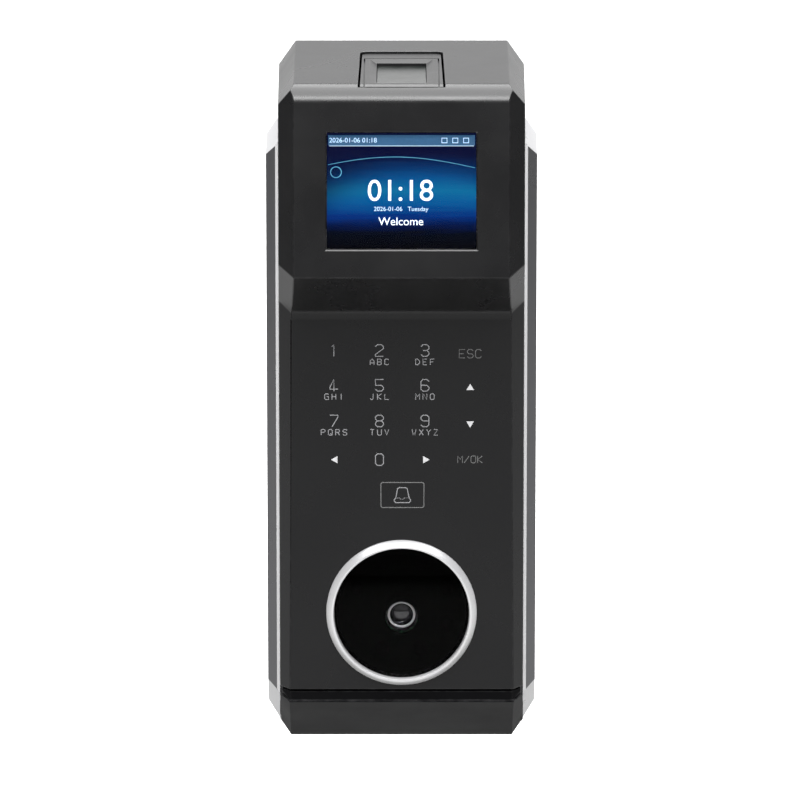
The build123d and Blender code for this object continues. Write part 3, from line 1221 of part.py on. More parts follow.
def reset_button():
    x, z = RESET_PLACE
    return outward_rod(RESET_RADIUS, x, z, (RESET_BODY[0] - 1, RESET_BODY[0] + 1.5))


# ---------------------------------------------------------------- write every piece
PIECES = [
    wall_plate, securing_screw,
    rear_housing, front_housing, base_cover, housing_screws,
    display_glass, display_foam, lcd_module, lcd_bracket, display_screws, lcd_flex,
    keypad_light_guide, keypad_board, card_antenna, keypad_flex,
    palm_bezel, palm_glass, palm_cup, palm_ir_board, palm_ir_leds,
    palm_barrel, palm_lens, palm_camera_board, palm_screws, palm_flex,
    finger_guide, finger_prism, finger_sensor_housing, finger_sensor_board, finger_flex,
    main_board, board_screws, processor_shield, clock_battery, battery_holder, lock_relay,
    flex_connectors, terminal_blocks, ethernet_jack, usb_socket, usb_board, usb_flap, speaker,
    tamper_switch, tamper_plunger, reset_switch, reset_button,
]

os.makedirs("parts", exist_ok=True)
for make in PIECES:
    export_step(make(), f"parts/{make.__name__}.step")
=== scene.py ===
from math import cos, pi, radians, sin
import bmesh
import bpy
from mathutils import Matrix, Vector


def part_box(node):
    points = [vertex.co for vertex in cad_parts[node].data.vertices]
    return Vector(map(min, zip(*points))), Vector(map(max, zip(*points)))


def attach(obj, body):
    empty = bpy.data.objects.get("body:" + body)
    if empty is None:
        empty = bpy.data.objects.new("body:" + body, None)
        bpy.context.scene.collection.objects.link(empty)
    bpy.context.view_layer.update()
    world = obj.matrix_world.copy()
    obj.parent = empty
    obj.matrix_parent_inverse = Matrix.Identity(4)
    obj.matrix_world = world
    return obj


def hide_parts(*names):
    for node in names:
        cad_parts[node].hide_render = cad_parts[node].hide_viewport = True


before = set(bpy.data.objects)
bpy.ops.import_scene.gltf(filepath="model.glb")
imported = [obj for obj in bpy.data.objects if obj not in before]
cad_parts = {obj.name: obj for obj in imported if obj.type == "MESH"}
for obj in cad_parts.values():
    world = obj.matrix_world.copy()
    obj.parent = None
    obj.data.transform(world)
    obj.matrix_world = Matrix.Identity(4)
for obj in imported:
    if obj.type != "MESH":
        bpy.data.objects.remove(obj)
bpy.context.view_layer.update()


# ------------------------------------------------------------------ wall plate
# A blank of 1.5 mm steel sheet, bent up into four hooks and a securing tab, and
# zinc plated. It is screwed to the wall before anything else goes on.
# The plating shows faint crystals and fine rolling marks along the sheet.

def node(tree, kind, inputs=None, **settings):
    """Adds a node; inputs are sockets to link from or plain values."""
    made = tree.nodes.new(kind)
    for name, value in settings.items():
        setattr(made, name, value)
    for name, value in (inputs or {}).items():
        if isinstance(value, bpy.types.NodeSocket):
            tree.links.new(value, made.inputs[name])
        else:
            made.inputs[name].default_value = value
    return made


def new_group(name, ins, outs):
    """An empty shader node group with number inputs and named outputs."""
    tree = bpy.data.node_groups.new(name, "ShaderNodeTree")
    for label, value in ins.items():
        socket = tree.interface.new_socket(name=label, in_out="INPUT", socket_type="NodeSocketFloat")
        socket.default_value = value
    for label in outs:
        tree.interface.new_socket(name=label, in_out="OUTPUT", socket_type="NodeSocketFloat")
    return tree, node(tree, "NodeGroupInput").outputs, node(tree, "NodeGroupOutput").inputs


def build_edge_wear_and_sheen():
    """Mask of outer edges, broken up by noise: where handling polishes a finish, and where a painted highlight
    lightens an edge.
    """
    tree, ins, outs = new_group("edge_wear_and_sheen", {"Radius": 0.0006, "Scale": 300.0}, ["Mask"])
    rounded = node(tree, "ShaderNodeBevel", {"Radius": ins["Radius"]}, samples=4)
    flat = node(tree, "ShaderNodeNewGeometry")
    along = node(tree, "ShaderNodeVectorMath", {0: rounded.outputs[0], 1: flat.outputs["Normal"]},
                 operation="DOT_PRODUCT")
    edge = node(tree, "ShaderNodeMapRange", {"Value": along.outputs["Value"], 1: 0.999, 2: 0.93})
    place = node(tree, "ShaderNodeTexCoord")
    breaks = node(tree, "ShaderNodeTexNoise", {"Vector": place.outputs["Object"], "Scale": ins["Scale"],
                                               "Detail": 4.0})
    share = node(tree, "ShaderNodeMapRange", {"Value": breaks.outputs["Fac"], 1: 0.35, 2: 0.75})
    mask = node(tree, "ShaderNodeMath", {0: edge.outputs[0], 1: share.outputs[0]}, operation="MULTIPLY")
    tree.links.new(mask.outputs[0], outs["Mask"])
    return tree


def build_fine_grain():
    """Height of a fine texture, and a slow tone for patches of colour and gloss."""
    tree, ins, outs = new_group("fine_grain", {"Scale": 2500.0, "Patch": 40.0, "Stretch": 1.0},
                                ["Height", "Tone"])
    place = node(tree, "ShaderNodeTexCoord")
    parts = node(tree, "ShaderNodeSeparateXYZ", {0: place.outputs["Object"]})
    drawn = node(tree, "ShaderNodeMath", {0: parts.outputs["Z"], 1: ins["Stretch"]}, operation="MULTIPLY")
    spread = node(tree, "ShaderNodeCombineXYZ", {0: parts.outputs["X"], 1: parts.outputs["Y"],
                                                 2: drawn.outputs[0]})
    fine = node(tree, "ShaderNodeTexNoise", {"Vector": spread.outputs[0], "Scale": ins["Scale"], "Detail": 3.0})
    slow = node(tree, "ShaderNodeTexNoise", {"Vector": place.outputs["Object"], "Scale": ins["Patch"],
                                             "Detail": 5.0, "Roughness": 0.6})
    tone = node(tree, "ShaderNodeMapRange", {"Value": slow.outputs["Fac"], 1: 0.3, 2: 0.7})
    tree.links.new(fine.outputs["Fac"], outs["Height"])
    tree.links.new(tone.outputs[0], outs["Tone"])
    return tree


EDGE_WEAR_AND_SHEEN = build_edge_wear_and_sheen()
FINE_GRAIN = build_fine_grain()


def mixed(tree, share, low, high):
    """A colour between two, by a mask."""
    made = node(tree, "ShaderNodeMix", data_type="RGBA")
    sockets = {"Factor": made.inputs[0], "A": made.inputs[6], "B": made.inputs[7]}
    for name, value in (("Factor", share), ("A", low), ("B", high)):
        if isinstance(value, bpy.types.NodeSocket):
            tree.links.new(value, sockets[name])
        elif name == "Factor":
            sockets[name].default_value = value
        else:
            sockets[name].default_value = (*value, 1.0)
    return made.outputs[2]


def between(tree, share, low, high):
    """A number between two, by a mask."""
    return node(tree, "ShaderNodeMapRange", {"Value": share, 3: low, 4: high}).outputs[0]


def surface(name, colours, roughness, metallic=0.0, grain=(2500.0, 0.00001), patch=40.0, stretch=1.0,
            wear_and_sheen=None, wear_and_sheen_radius=0.0006, **fixed):
    """A finish: two tones in slow patches, a fine relief, and edges polished by handling or lightened by a
    painted highlight.
    """
    made = bpy.data.materials.new(name)
    made.use_nodes = True
    tree = made.node_tree
    shader = tree.nodes["Principled BSDF"]
    shader.inputs["Metallic"].default_value = metallic
    for socket, value in fixed.items():
        shader.inputs[socket.replace("_", " ")].default_value = value
    texture = node(tree, "ShaderNodeGroup", node_tree=FINE_GRAIN)
    texture.inputs["Scale"].default_value = grain[0]
    texture.inputs["Patch"].default_value = patch
    texture.inputs["Stretch"].default_value = stretch
    colour = mixed(tree, texture.outputs["Tone"], *colours)
    rough = between(tree, texture.outputs["Tone"], *roughness)
    if wear_and_sheen:
        edges = node(tree, "ShaderNodeGroup", node_tree=EDGE_WEAR_AND_SHEEN)
        edges.inputs["Radius"].default_value = wear_and_sheen_radius
        colour = mixed(tree, edges.outputs["Mask"], colour, wear_and_sheen)
    tree.links.new(colour, shader.inputs["Base Color"])
    tree.links.new(rough, shader.inputs["Roughness"])
    relief = node(tree, "ShaderNodeBump", {"Height": texture.outputs["Height"], "Distance": grain[1]})
    tree.links.new(relief.outputs[0], shader.inputs["Normal"])
    return made


def toned_by(finish, mask):
    """Lets a mask, in place of the slow patches, choose between a finish's two colours."""
    tree = finish.node_tree
    colour = tree.nodes["Principled BSDF"].inputs["Base Color"].links[0].from_node
    tree.links.new(mask, colour.inputs[0])


def closed_mesh(name, bm):
    """Writes the edited faces into a new mesh and lets the editor go."""
    mesh = bpy.data.meshes.new(name)
    bm.to_mesh(mesh)
    bm.free()
    return mesh


def dress(name, finish):
    """Gives a CAD node its finish."""
    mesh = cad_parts[name].data
    mesh.materials.clear()
    mesh.materials.append(finish)


def shown(name, mesh, body, finish):
    """A new piece in its place, riding on a body."""
    piece = bpy.data.objects.new(name, mesh)
    bpy.context.scene.collection.objects.link(piece)
    mesh.materials.clear()
    mesh.materials.append(finish)
    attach(piece, body)
    return piece


def outlined_mesh(name, curve):
    """The mesh of a curve or of lettering."""
    holder = bpy.data.objects.new(name + "_outline", curve)
    bpy.context.scene.collection.objects.link(holder)
    bpy.context.view_layer.update()
    mesh = bpy.data.meshes.new_from_object(holder.evaluated_get(bpy.context.evaluated_depsgraph_get()))
    bpy.data.objects.remove(holder)
    mesh.name = name
    return mesh


def rounded_copy(cad, name, body, finish, radius, limit=20.0, segments=3):
    """A CAD node's shape with its edges softened.

    Flat faces are joined up, but stay split along the middle plane, so that a face
    with an opening in it is two plain outlines.
    """
    bm = bmesh.new()
    bm.from_mesh(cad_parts[cad].data)
    bmesh.ops.remove_doubles(bm, verts=bm.verts, dist=1e-6)
    halved = bmesh.ops.bisect_plane(bm, geom=bm.verts[:] + bm.edges[:] + bm.faces[:], dist=1e-7,
                                    plane_co=(0, 0, 0), plane_no=(1, 0, 0))
    for part in halved["geom_cut"]:
        if isinstance(part, bmesh.types.BMEdge):
            part.seam = True
    bmesh.ops.dissolve_limit(bm, angle_limit=radians(0.1), verts=bm.verts, edges=bm.edges,
                             delimit={"SEAM"})
    for face in bm.faces:
        face.smooth = True
    piece = shown(name, closed_mesh(name, bm), body, finish)
    softened = piece.modifiers.new("softened", "BEVEL")
    softened.width = radius
    softened.segments = segments
    softened.limit_method = "ANGLE"
    softened.angle_limit = radians(limit)
    softened.use_clamp_overlap = False
    softened.loop_slide = False
    shading = piece.modifiers.new("even_shading", "WEIGHTED_NORMAL")
    shading.keep_sharp = True
    shading.weight = 60
    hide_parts(cad)
    return piece


ZINC = surface("zinc_plating", ((0.50, 0.52, 0.54), (0.62, 0.63, 0.64)), (0.32, 0.46), metallic=1.0,
               grain=(900.0, 0.00002), patch=120.0, stretch=0.1, wear_and_sheen=(0.42, 0.40, 0.38))
rounded_copy("wall_plate", "plated_wall_plate", "plate", ZINC, 0.0002, limit=30)

# ------------------------------------------------------------------ rear housing
# The silver tray: ABS moulded in one piece and sprayed with aluminium paint under a
# satin lacquer. Its wings stand out either side of the black body. Their colour carries
# painted light and shade: a painted highlight on the front edge and the lower ends,
# painted shade on the flanks and the upper ends.

def silver_paint():
    """Aluminium flakes under lacquer, with painted shade on the wings' flanks and upper ends and a painted
    highlight on their lower ends and front edge.
    """
    made = surface("silver_paint", ((0.60, 0.61, 0.62), (0.66, 0.67, 0.68)), (0.26, 0.33), metallic=1.0,
                   grain=(5200.0, 0.000012), patch=30.0, wear_and_sheen=(0.82, 0.82, 0.83), Coat_Weight=0.35)
    tree = made.node_tree
    shader = tree.nodes["Principled BSDF"]
    bright = shader.inputs["Base Color"].links[0].from_socket
    facing = node(tree, "ShaderNodeNewGeometry")
    across = node(tree, "ShaderNodeSeparateXYZ", {0: facing.outputs["True Normal"]})
    sideways = node(tree, "ShaderNodeMath", {0: across.outputs["X"]}, operation="ABSOLUTE")
    level = node(tree, "ShaderNodeMath", {0: across.outputs["Z"]}, operation="ABSOLUTE")
    turned_out = node(tree, "ShaderNodeMapRange", {"Value": sideways.outputs[0], 1: 0.70, 2: 0.80})
    upright = node(tree, "ShaderNodeMapRange", {"Value": level.outputs[0], 1: 0.25, 2: 0.15})
    painted_flank_shade = node(tree, "ShaderNodeMath", {0: turned_out.outputs[0], 1: upright.outputs[0]},
                 operation="MULTIPLY")
    # Painted shade: faces turned sideways and standing upright, the wings' flanks, are darkened.
    colour = mixed(tree, painted_flank_shade.outputs[0], bright, (0.215, 0.215, 0.225))
    # Painted light and shade: sloping ends and forward faces go near white where they face down or forward, and
    # darker where they face up.
    sloping = node(tree, "ShaderNodeMapRange", {"Value": level.outputs[0], 1: 0.30, 2: 0.36})
    end = node(tree, "ShaderNodeMath", {0: turned_out.outputs[0], 1: sloping.outputs[0]}, operation="MULTIPLY")
    outward = node(tree, "ShaderNodeMapRange", {"Value": across.outputs["Y"], 1: -0.90, 2: -0.97})
    painted_light_mask = node(tree, "ShaderNodeMath", {0: end.outputs[0], 1: outward.outputs[0]}, operation="MAXIMUM")
    above = node(tree, "ShaderNodeMapRange", {"Value": across.outputs["Z"], 1: 0.25, 2: 0.35})
    painted_end_tone = mixed(tree, above.outputs[0], (0.97, 0.97, 0.98), (0.42, 0.42, 0.43))
    colour = mixed(tree, painted_light_mask.outputs[0], colour, painted_end_tone)
    tree.links.new(colour, shader.inputs["Base Color"])
    tree.links.new(between(tree, painted_light_mask.outputs[0], 1.0, 0.1), shader.inputs["Metallic"])
    return made


SILVER = silver_paint()
rounded_copy("rear_housing", "silver_shell", "terminal", SILVER, 0.00012)

# ------------------------------------------------------------------ black mouldings
# The front housing and the base cover: black polycarbonate blend from a finely
# spark-eroded tool, so flat faces are satin; long edges pick up a soft shine, partly
# from their rounding and partly from a painted highlight in the edge colour.
# The housing is screwed to the tray from behind; the cover hooks in below it.

# The edge colour of both black finishes is a painted highlight along the edges, far paler than the plastic.
BLACK = surface("black_plastic", ((0.0045, 0.0045, 0.0050), (0.0065, 0.0065, 0.0070)), (0.24, 0.32),
                grain=(3800.0, 0.0000025), patch=22.0, wear_and_sheen=(0.06, 0.06, 0.062), Specular_IOR_Level=0.5)
rounded_copy("front_housing", "black_front", "terminal", BLACK, 0.0004)
MATT_BLACK = surface("matt_black_plastic", ((0.0045, 0.0045, 0.0050), (0.0065, 0.0065, 0.0070)), (0.38, 0.46),
                     grain=(3000.0, 0.000003), patch=22.0, wear_and_sheen=(0.05, 0.05, 0.052), Specular_IOR_Level=0.03)
rounded_copy("base_cover", "black_base", "terminal", MATT_BLACK, 0.0003)

# ------------------------------------------------------------------ fasteners
# Pan-head steel screws, cold headed and zinc plated, with a cross or a slot
# pressed into the head. The largest six close the housing from behind.

SCREW_STEEL = surface("screw_steel", ((0.45, 0.45, 0.46), (0.58, 0.58, 0.58)), (0.25, 0.4), metallic=1.0,
                      grain=(4000.0, 0.00001), patch=500.0, wear_and_sheen=(0.75, 0.75, 0.74), wear_and_sheen_radius=0.0003)
for cad_screw, head in (("housing_screws", "closing_screws"), ("securing_screw", "securing_bolt")):
    rounded_copy(cad_screw, head, "terminal", SCREW_STEEL, 0.00008, limit=35, segments=2)
for cad_screws in ("board_screws", "display_screws", "palm_screws"):
    dress(cad_screws, SCREW_STEEL)

# ------------------------------------------------------------------ boards inside
# Glass-epoxy circuit boards under green solder mask, with tracks that show as
# slightly raised lines, and the parts that are soldered or plugged to them.

def solder_mask():
    """Green lacquer, paler and slightly raised where it covers a track."""
    made = surface("solder_mask", ((0.007, 0.085, 0.028), (0.03, 0.20, 0.07)), (0.25, 0.4),
                   grain=(3000.0, 0.00003), patch=60.0)
    tree = made.node_tree
    place = node(tree, "ShaderNodeTexCoord")
    turned = node(tree, "ShaderNodeMapping", {"Vector": place.outputs["Object"],
                                              "Rotation": (pi / 2, 0, 0)})
    tracks = node(tree, "ShaderNodeTexBrick", {"Vector": turned.outputs[0], "Scale": 90.0,
                                               "Mortar Size": 0.03, "Mortar Smooth": 0.3})
    toned_by(made, tracks.outputs["Fac"])
    raised = tree.nodes["Principled BSDF"].inputs["Normal"].links[0].from_node
    tree.links.new(tracks.outputs["Fac"], raised.inputs["Height"])
    return made


BOARD = solder_mask()
for cad_board in ("main_board", "keypad_board", "card_antenna", "palm_ir_board", "palm_camera_board",
                  "finger_sensor_board", "usb_board"):
    dress(cad_board, BOARD)
TIN = surface("tinned_sheet", ((0.50, 0.50, 0.48), (0.60, 0.60, 0.58)), (0.3, 0.42), metallic=1.0,
              grain=(1500.0, 0.00001), patch=90.0, stretch=0.08)
for cad_tin in ("lcd_bracket", "processor_shield", "battery_holder", "ethernet_jack", "usb_socket"):
    dress(cad_tin, TIN)
FILM = surface("flex_film", ((0.30, 0.11, 0.012), (0.42, 0.17, 0.02)), (0.22, 0.35),
               grain=(1200.0, 0.00001), patch=200.0)
for cad_film in ("lcd_flex", "keypad_flex", "palm_flex", "finger_flex"):
    dress(cad_film, FILM)
MODULE = surface("module_plastic", ((0.008, 0.008, 0.009), (0.014, 0.014, 0.015)), (0.5, 0.65),
                 grain=(2600.0, 0.00001), patch=80.0)
for cad_module in ("palm_cup", "finger_sensor_housing", "speaker", "tamper_switch", "reset_switch"):
    dress(cad_module, MODULE)
NYLON = surface("white_nylon", ((0.62, 0.60, 0.54), (0.70, 0.68, 0.62)), (0.4, 0.5),
                grain=(2000.0, 0.00001), patch=120.0)
dress("flex_connectors", NYLON)
dress("tamper_plunger", NYLON)
GREEN_NYLON = surface("green_nylon", ((0.02, 0.22, 0.07), (0.03, 0.28, 0.09)), (0.35, 0.5),
                      grain=(2000.0, 0.00001), patch=120.0)
dress("terminal_blocks", GREEN_NYLON)
RELAY = surface("relay_case", ((0.012, 0.016, 0.05), (0.018, 0.022, 0.065)), (0.3, 0.4),
                grain=(1800.0, 0.00001), patch=150.0)
dress("lock_relay", RELAY)
CELL = surface("battery_steel", ((0.62, 0.62, 0.60), (0.70, 0.70, 0.68)), (0.2, 0.32), metallic=1.0,
               grain=(2400.0, 0.00001), patch=260.0)
dress("clock_battery", CELL)
FOAM = surface("foam_seal", ((0.010, 0.010, 0.011), (0.022, 0.022, 0.023)), (0.85, 0.95),
               grain=(900.0, 0.00015), patch=600.0)
dress("display_foam", FOAM)
RUBBER = surface("soft_rubber", ((0.010, 0.010, 0.011), (0.017, 0.017, 0.018)), (0.5, 0.62),
                 grain=(2800.0, 0.00001), patch=90.0, wear_and_sheen=(0.03, 0.03, 0.03))
dress("reset_button", RUBBER)
rounded_copy("usb_flap", "rubber_flap", "usb_cover", RUBBER, 0.0002, limit=30)
ACRYLIC = surface("clear_acrylic", ((0.80, 0.84, 0.86), (0.88, 0.90, 0.92)), (0.15, 0.3),
                  grain=(1500.0, 0.00002), patch=90.0, Transmission_Weight=0.85, IOR=1.49)
dress("keypad_light_guide", ACRYLIC)

# ------------------------------------------------------------------ display
# A colour TFT behind a pane of clear glass that is taped inside the window of the
# sloping head. It is drawn lit, with a plain clock face over a blue backdrop.

HEAD_LEAN = radians(10.9)
PICTURE_WIDTH = 0.0578
PICTURE_HEIGHT = 0.0448
glass_low, glass_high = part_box("display_glass")
glass_middle = (glass_low + glass_high) / 2
pane_turn = Matrix.Rotation(pi / 2 - HEAD_LEAN, 4, "X")
glass_place = Matrix.Translation(glass_middle) @ pane_turn
PICTURE_BELOW = 0.00138        # from the middle of the glass to the lit layer
LINE_RISE = 0.00006            # what is drawn on the picture stands this far above it
BAR_RISE = LINE_RISE / 2
BAR_UP = 0.0196
BAR_REACH = 0.0284
BAR_LINE_UP = 0.0174
BAR_LINE_REACH = 0.0280
ARC_START = -0.0285
ARC_STEP = 0.00285
DIAL_STEPS = 24
DIAL_RADIUS = 0.0021
DIAL_ACROSS = -0.0254
DIAL_UP = 0.0072
ICONS_ACROSS = (0.0166, 0.0208, 0.0250)
ICON_UP = 0.0195
ICON_HALF_WIDTH = 0.0010
ICON_HALF_HEIGHT = 0.0009


LCD_FRAME = surface("lcd_frame", ((0.010, 0.010, 0.011), (0.016, 0.016, 0.017)), (0.35, 0.5),
                    grain=(2200.0, 0.00001), patch=100.0)
dress("lcd_module", LCD_FRAME)
PANE = surface("display_glass", ((0.94, 0.96, 0.97), (0.96, 0.97, 0.98)), (0.0, 0.01),
               grain=(200.0, 0.0000001), patch=60.0, Transmission_Weight=1.0, IOR=1.2)
rounded_copy("display_glass", "display_pane", "terminal", PANE, 0.0001, limit=40, segments=2)


def wallpaper():
    """Night blue with a lit band, curved edge and fine streaks, as light given out."""
    made = bpy.data.materials.new("screen_backdrop")
    made.use_nodes = True
    tree = made.node_tree
    shader = tree.nodes["Principled BSDF"]
    shader.inputs["Roughness"].default_value = 0.6
    shader.inputs["Specular IOR Level"].default_value = 0.0
    shader.inputs["Emission Strength"].default_value = 1.0
    place = node(tree, "ShaderNodeTexCoord")
    flat = node(tree, "ShaderNodeMapping", {"Vector": place.outputs["Object"], "Location": glass_middle,
                                            "Rotation": (pi / 2 - HEAD_LEAN, 0, 0),
                                            "Scale": (PICTURE_HEIGHT, PICTURE_HEIGHT, PICTURE_HEIGHT)},
                vector_type="TEXTURE")
    parts = node(tree, "ShaderNodeSeparateXYZ", {0: flat.outputs[0]})
    streaks = node(tree, "ShaderNodeMapping", {"Vector": flat.outputs[0], "Scale": (1.2, 22.0, 1.0)})
    noise = node(tree, "ShaderNodeTexNoise", {"Vector": streaks.outputs[0], "Scale": 1.6, "Detail": 4.0})
    shift = between(tree, noise.outputs["Fac"], -0.045, 0.045)
    lifted = node(tree, "ShaderNodeMath", {0: parts.outputs["Y"], 1: shift}, operation="ADD")
    share = node(tree, "ShaderNodeMapRange", {"Value": lifted.outputs[0], 1: -0.5, 2: 0.5})
    bands = node(tree, "ShaderNodeValToRGB", {"Fac": share.outputs[0]})
    ramp = bands.color_ramp
    stops = ((0.0, (0.0, 0.0, 0.001)), (0.13, (0.0, 0.001, 0.006)), (0.20, (0.0, 0.006, 0.055)),
             (0.28, (0.0, 0.030, 0.21)), (0.40, (0.001, 0.105, 0.33)), (0.50, (0.003, 0.16, 0.36)),
             (0.62, (0.001, 0.085, 0.29)), (0.74, (0.001, 0.036, 0.16)), (0.82, (0.003, 0.004, 0.040)),
             (1.0, (0.003, 0.003, 0.030)))
    ramp.elements[0].position = stops[0][0]
    ramp.elements[0].color = (*stops[0][1], 1)
    ramp.elements[1].position = stops[-1][0]
    ramp.elements[1].color = (*stops[-1][1], 1)
    for position, colour in stops[1:-1]:
        ramp.elements.new(position).color = (*colour, 1)
    centre = node(tree, "ShaderNodeVectorMath", {0: flat.outputs[0], 1: (0.16, -0.98, 0.0)},
                  operation="DISTANCE")
    horizon = node(tree, "ShaderNodeMapRange",
                   {"Value": centre.outputs["Value"], 1: 1.02, 2: 1.42, 3: 1.0, 4: 0.1},
                   interpolation_type="SMOOTHSTEP")
    night = mixed(tree, horizon.outputs[0], (0.001, 0.003, 0.030), bands.outputs[0])
    shader.inputs["Base Color"].default_value = (0.001, 0.001, 0.002, 1)
    tree.links.new(night, shader.inputs["Emission Color"])
    return made


def picture_sheet():
    """The lit layer of the display: a thin sheet with a softened rim."""
    bm = bmesh.new()
    bmesh.ops.create_grid(bm, x_segments=8, y_segments=6, size=0.5)
    bmesh.ops.scale(bm, vec=(PICTURE_WIDTH, PICTURE_HEIGHT, 1.0), verts=bm.verts)
    bmesh.ops.solidify(bm, geom=bm.faces[:], thickness=0.0001)
    rim = [edge for edge in bm.edges if edge.calc_face_angle(0) > radians(40)]
    bmesh.ops.bevel(bm, geom=rim, offset=0.00002, segments=2, profile=0.5, affect="EDGES", material=-1)
    bmesh.ops.recalc_face_normals(bm, faces=bm.faces)
    top = max(vert.co.z for vert in bm.verts)
    bmesh.ops.translate(bm, vec=(0, 0, -PICTURE_BELOW - top), verts=bm.verts)
    bmesh.ops.transform(bm, matrix=glass_place, verts=bm.verts)
    return closed_mesh("screen_picture", bm)


shown("screen_picture", picture_sheet(), "terminal", wallpaper())


def glowing(name, colour, strength):
    """Light given out evenly by lit characters, in slightly uneven patches."""
    made = surface(name, (colour, tuple(0.9 * part for part in colour)), (0.4, 0.5), patch=900.0)
    tree = made.node_tree
    shader = tree.nodes["Principled BSDF"]
    tree.links.new(shader.inputs["Base Color"].links[0].from_socket, shader.inputs["Emission Color"])
    shader.inputs["Emission Strength"].default_value = strength
    return made


def lettering(name, words, height, middle, finish):
    """Words on the picture, standing just above it; middle is across and up, in metres."""
    curve = bpy.data.curves.new(name, "FONT")
    curve.body = words
    curve.size = height
    curve.align_x = "CENTER"
    curve.align_y = "CENTER"
    curve.extrude = 0.00002
    mesh = outlined_mesh(name, curve)
    mesh.transform(glass_place @ Matrix.Translation((middle[0], middle[1], -PICTURE_BELOW + LINE_RISE)))
    return shown(name, mesh, "terminal", finish)


LIT_WHITE = glowing("lit_white", (0.85, 0.93, 1.0), 0.95)
LIT_BLUE = glowing("lit_blue", (0.50, 0.70, 0.88), 0.75)
lettering("screen_clock", "01:18", 0.0117, (-0.0004, -0.0003), LIT_WHITE)
lettering("screen_date", "2026-01-06   Tuesday", 0.0024, (-0.0002, -0.0071), LIT_BLUE)
lettering("screen_greeting", "Welcome", 0.0044, (-0.0002, -0.0120), LIT_WHITE)
lettering("screen_status", "2026-01-06 01:18", 0.0026, (-0.0188, 0.0195), LIT_BLUE)


def lit_ribbon(name, points, width, finish, closed=False, rise=LINE_RISE):
    """A thin lit line on the picture, through points across and up, in metres."""
    bm = bmesh.new()
    count = len(points)
    rows = []
    for index, point in enumerate(points):
        before = points[index - 1] if closed or index else point
        after = points[(index + 1) % count] if closed or index < count - 1 else point
        along = (Vector(after) - Vector(before)).normalized()
        side = Vector((-along.y, along.x)) * width / 2
        rows.append([bm.verts.new((point[0] + sign * side.x, point[1] + sign * side.y, 0)) for sign in (-1, 1)])
    for index in range(count if closed else count - 1):
        here, there = rows[index], rows[(index + 1) % count]
        bm.faces.new((here[0], there[0], there[1], here[1]))
    bmesh.ops.recalc_face_normals(bm, faces=bm.faces)
    bmesh.ops.solidify(bm, geom=bm.faces[:], thickness=0.00003)
    bmesh.ops.translate(bm, vec=(0, 0, -PICTURE_BELOW + rise), verts=bm.verts)
    bmesh.ops.transform(bm, matrix=glass_place, verts=bm.verts)
    bmesh.ops.recalc_face_normals(bm, faces=bm.faces)
    shown(name, closed_mesh(name, bm), "terminal", finish)


LIT_TEAL = glowing("lit_teal", (0.05, 0.26, 0.42), 0.5)
LIT_BAR = glowing("lit_bar", (0.012, 0.07, 0.16), 0.7)
lit_ribbon("screen_bar", [(-BAR_REACH, BAR_UP), (0.0, BAR_UP), (BAR_REACH, BAR_UP)], 0.0040, LIT_BAR,
           rise=BAR_RISE)
lit_ribbon("screen_bar_line",
           [(-BAR_LINE_REACH, BAR_LINE_UP), (0.0, BAR_LINE_UP), (BAR_LINE_REACH, BAR_LINE_UP)],
           0.00020, LIT_BLUE)
arc = [(ARC_START + ARC_STEP * step, 0.0083 + 0.0048 * sin(pi * (0.12 + 0.042 * step))) for step in range(21)]
lit_ribbon("screen_arc", arc, 0.00022, LIT_TEAL)
dial = []
for step in range(DIAL_STEPS):
    turn = 2 * pi * step / DIAL_STEPS
    dial.append((DIAL_ACROSS + DIAL_RADIUS * cos(turn), DIAL_UP + DIAL_RADIUS * sin(turn)))
lit_ribbon("screen_dial", dial, 0.00035, LIT_TEAL, closed=True)
for index, across in enumerate(ICONS_ACROSS):
    low, high = ICON_UP - ICON_HALF_HEIGHT, ICON_UP + ICON_HALF_HEIGHT
    left, right = across - ICON_HALF_WIDTH, across + ICON_HALF_WIDTH
    icon = [(left, low), (right, low), (right, high), (left, high)]
    lit_ribbon(f"screen_icon_{index}", icon, 0.00036, LIT_BLUE, closed=True)

# ------------------------------------------------------------------ keypad legends
# Twelve keys, four arrows and a bell under the black face: nothing moves, and the
# characters show as thin grey lines, printed from behind and lit by the light guide.

KEY_FACE = 0.068
INK_FLATNESS = 0.12            # of a round pen line, once it is pressed on the face

# Each character is one or more pen runs, parted by a bar, over a grid four wide and
# six high: two figures are one corner, across and then up.
STROKES = {
    "0": "10 30 41 45 36 16 05 01 10", "1": "15 26 20", "2": "05 16 36 45 44 01 00 40",
    "3": "05 16 36 45 44 33 13|33 42 41 30 10 01", "4": "20 26 02 01 41", "5": "46 06 03 33 42 41 30 10 01",
    "6": "45 36 16 05 01 10 30 41 42 33 03", "7": "06 46 45 10",
    "8": "13 04 05 16 36 45 44 33 13 02 01 10 30 41 42 33", "9": "01 10 30 41 45 36 16 05 04 13 43",
    "A": "00 04 26 44 40|02 42", "B": "00 06 36 45 44 33 03|33 42 41 30 00", "C": "45 36 16 05 01 10 30 41",
    "D": "00 06 26 44 42 20 00", "E": "46 06 00 40|03 33", "F": "46 06 00|03 33",
    "G": "45 36 16 05 01 10 40 43 23", "H": "00 06|40 46|03 43", "I": "20 26", "J": "36 31 20 10 01",
    "K": "00 06|46 03 40", "L": "06 00 40", "M": "00 06 23 46 40", "N": "00 06 40 46",
    "O": "10 30 41 45 36 16 05 01 10", "P": "00 06 36 45 44 33 03", "Q": "10 30 41 45 36 16 05 01 10|22 40",
    "R": "00 06 36 45 44 33 03|23 40", "S": "45 36 16 05 04 13 33 42 41 30 10 01", "T": "06 46|26 20",
    "U": "06 01 10 30 41 46", "V": "06 20 46", "W": "06 10 23 30 46", "X": "00 46|06 40",
    "Y": "06 23 46|23 20", "Z": "06 46 00 40", "/": "00 46",
}


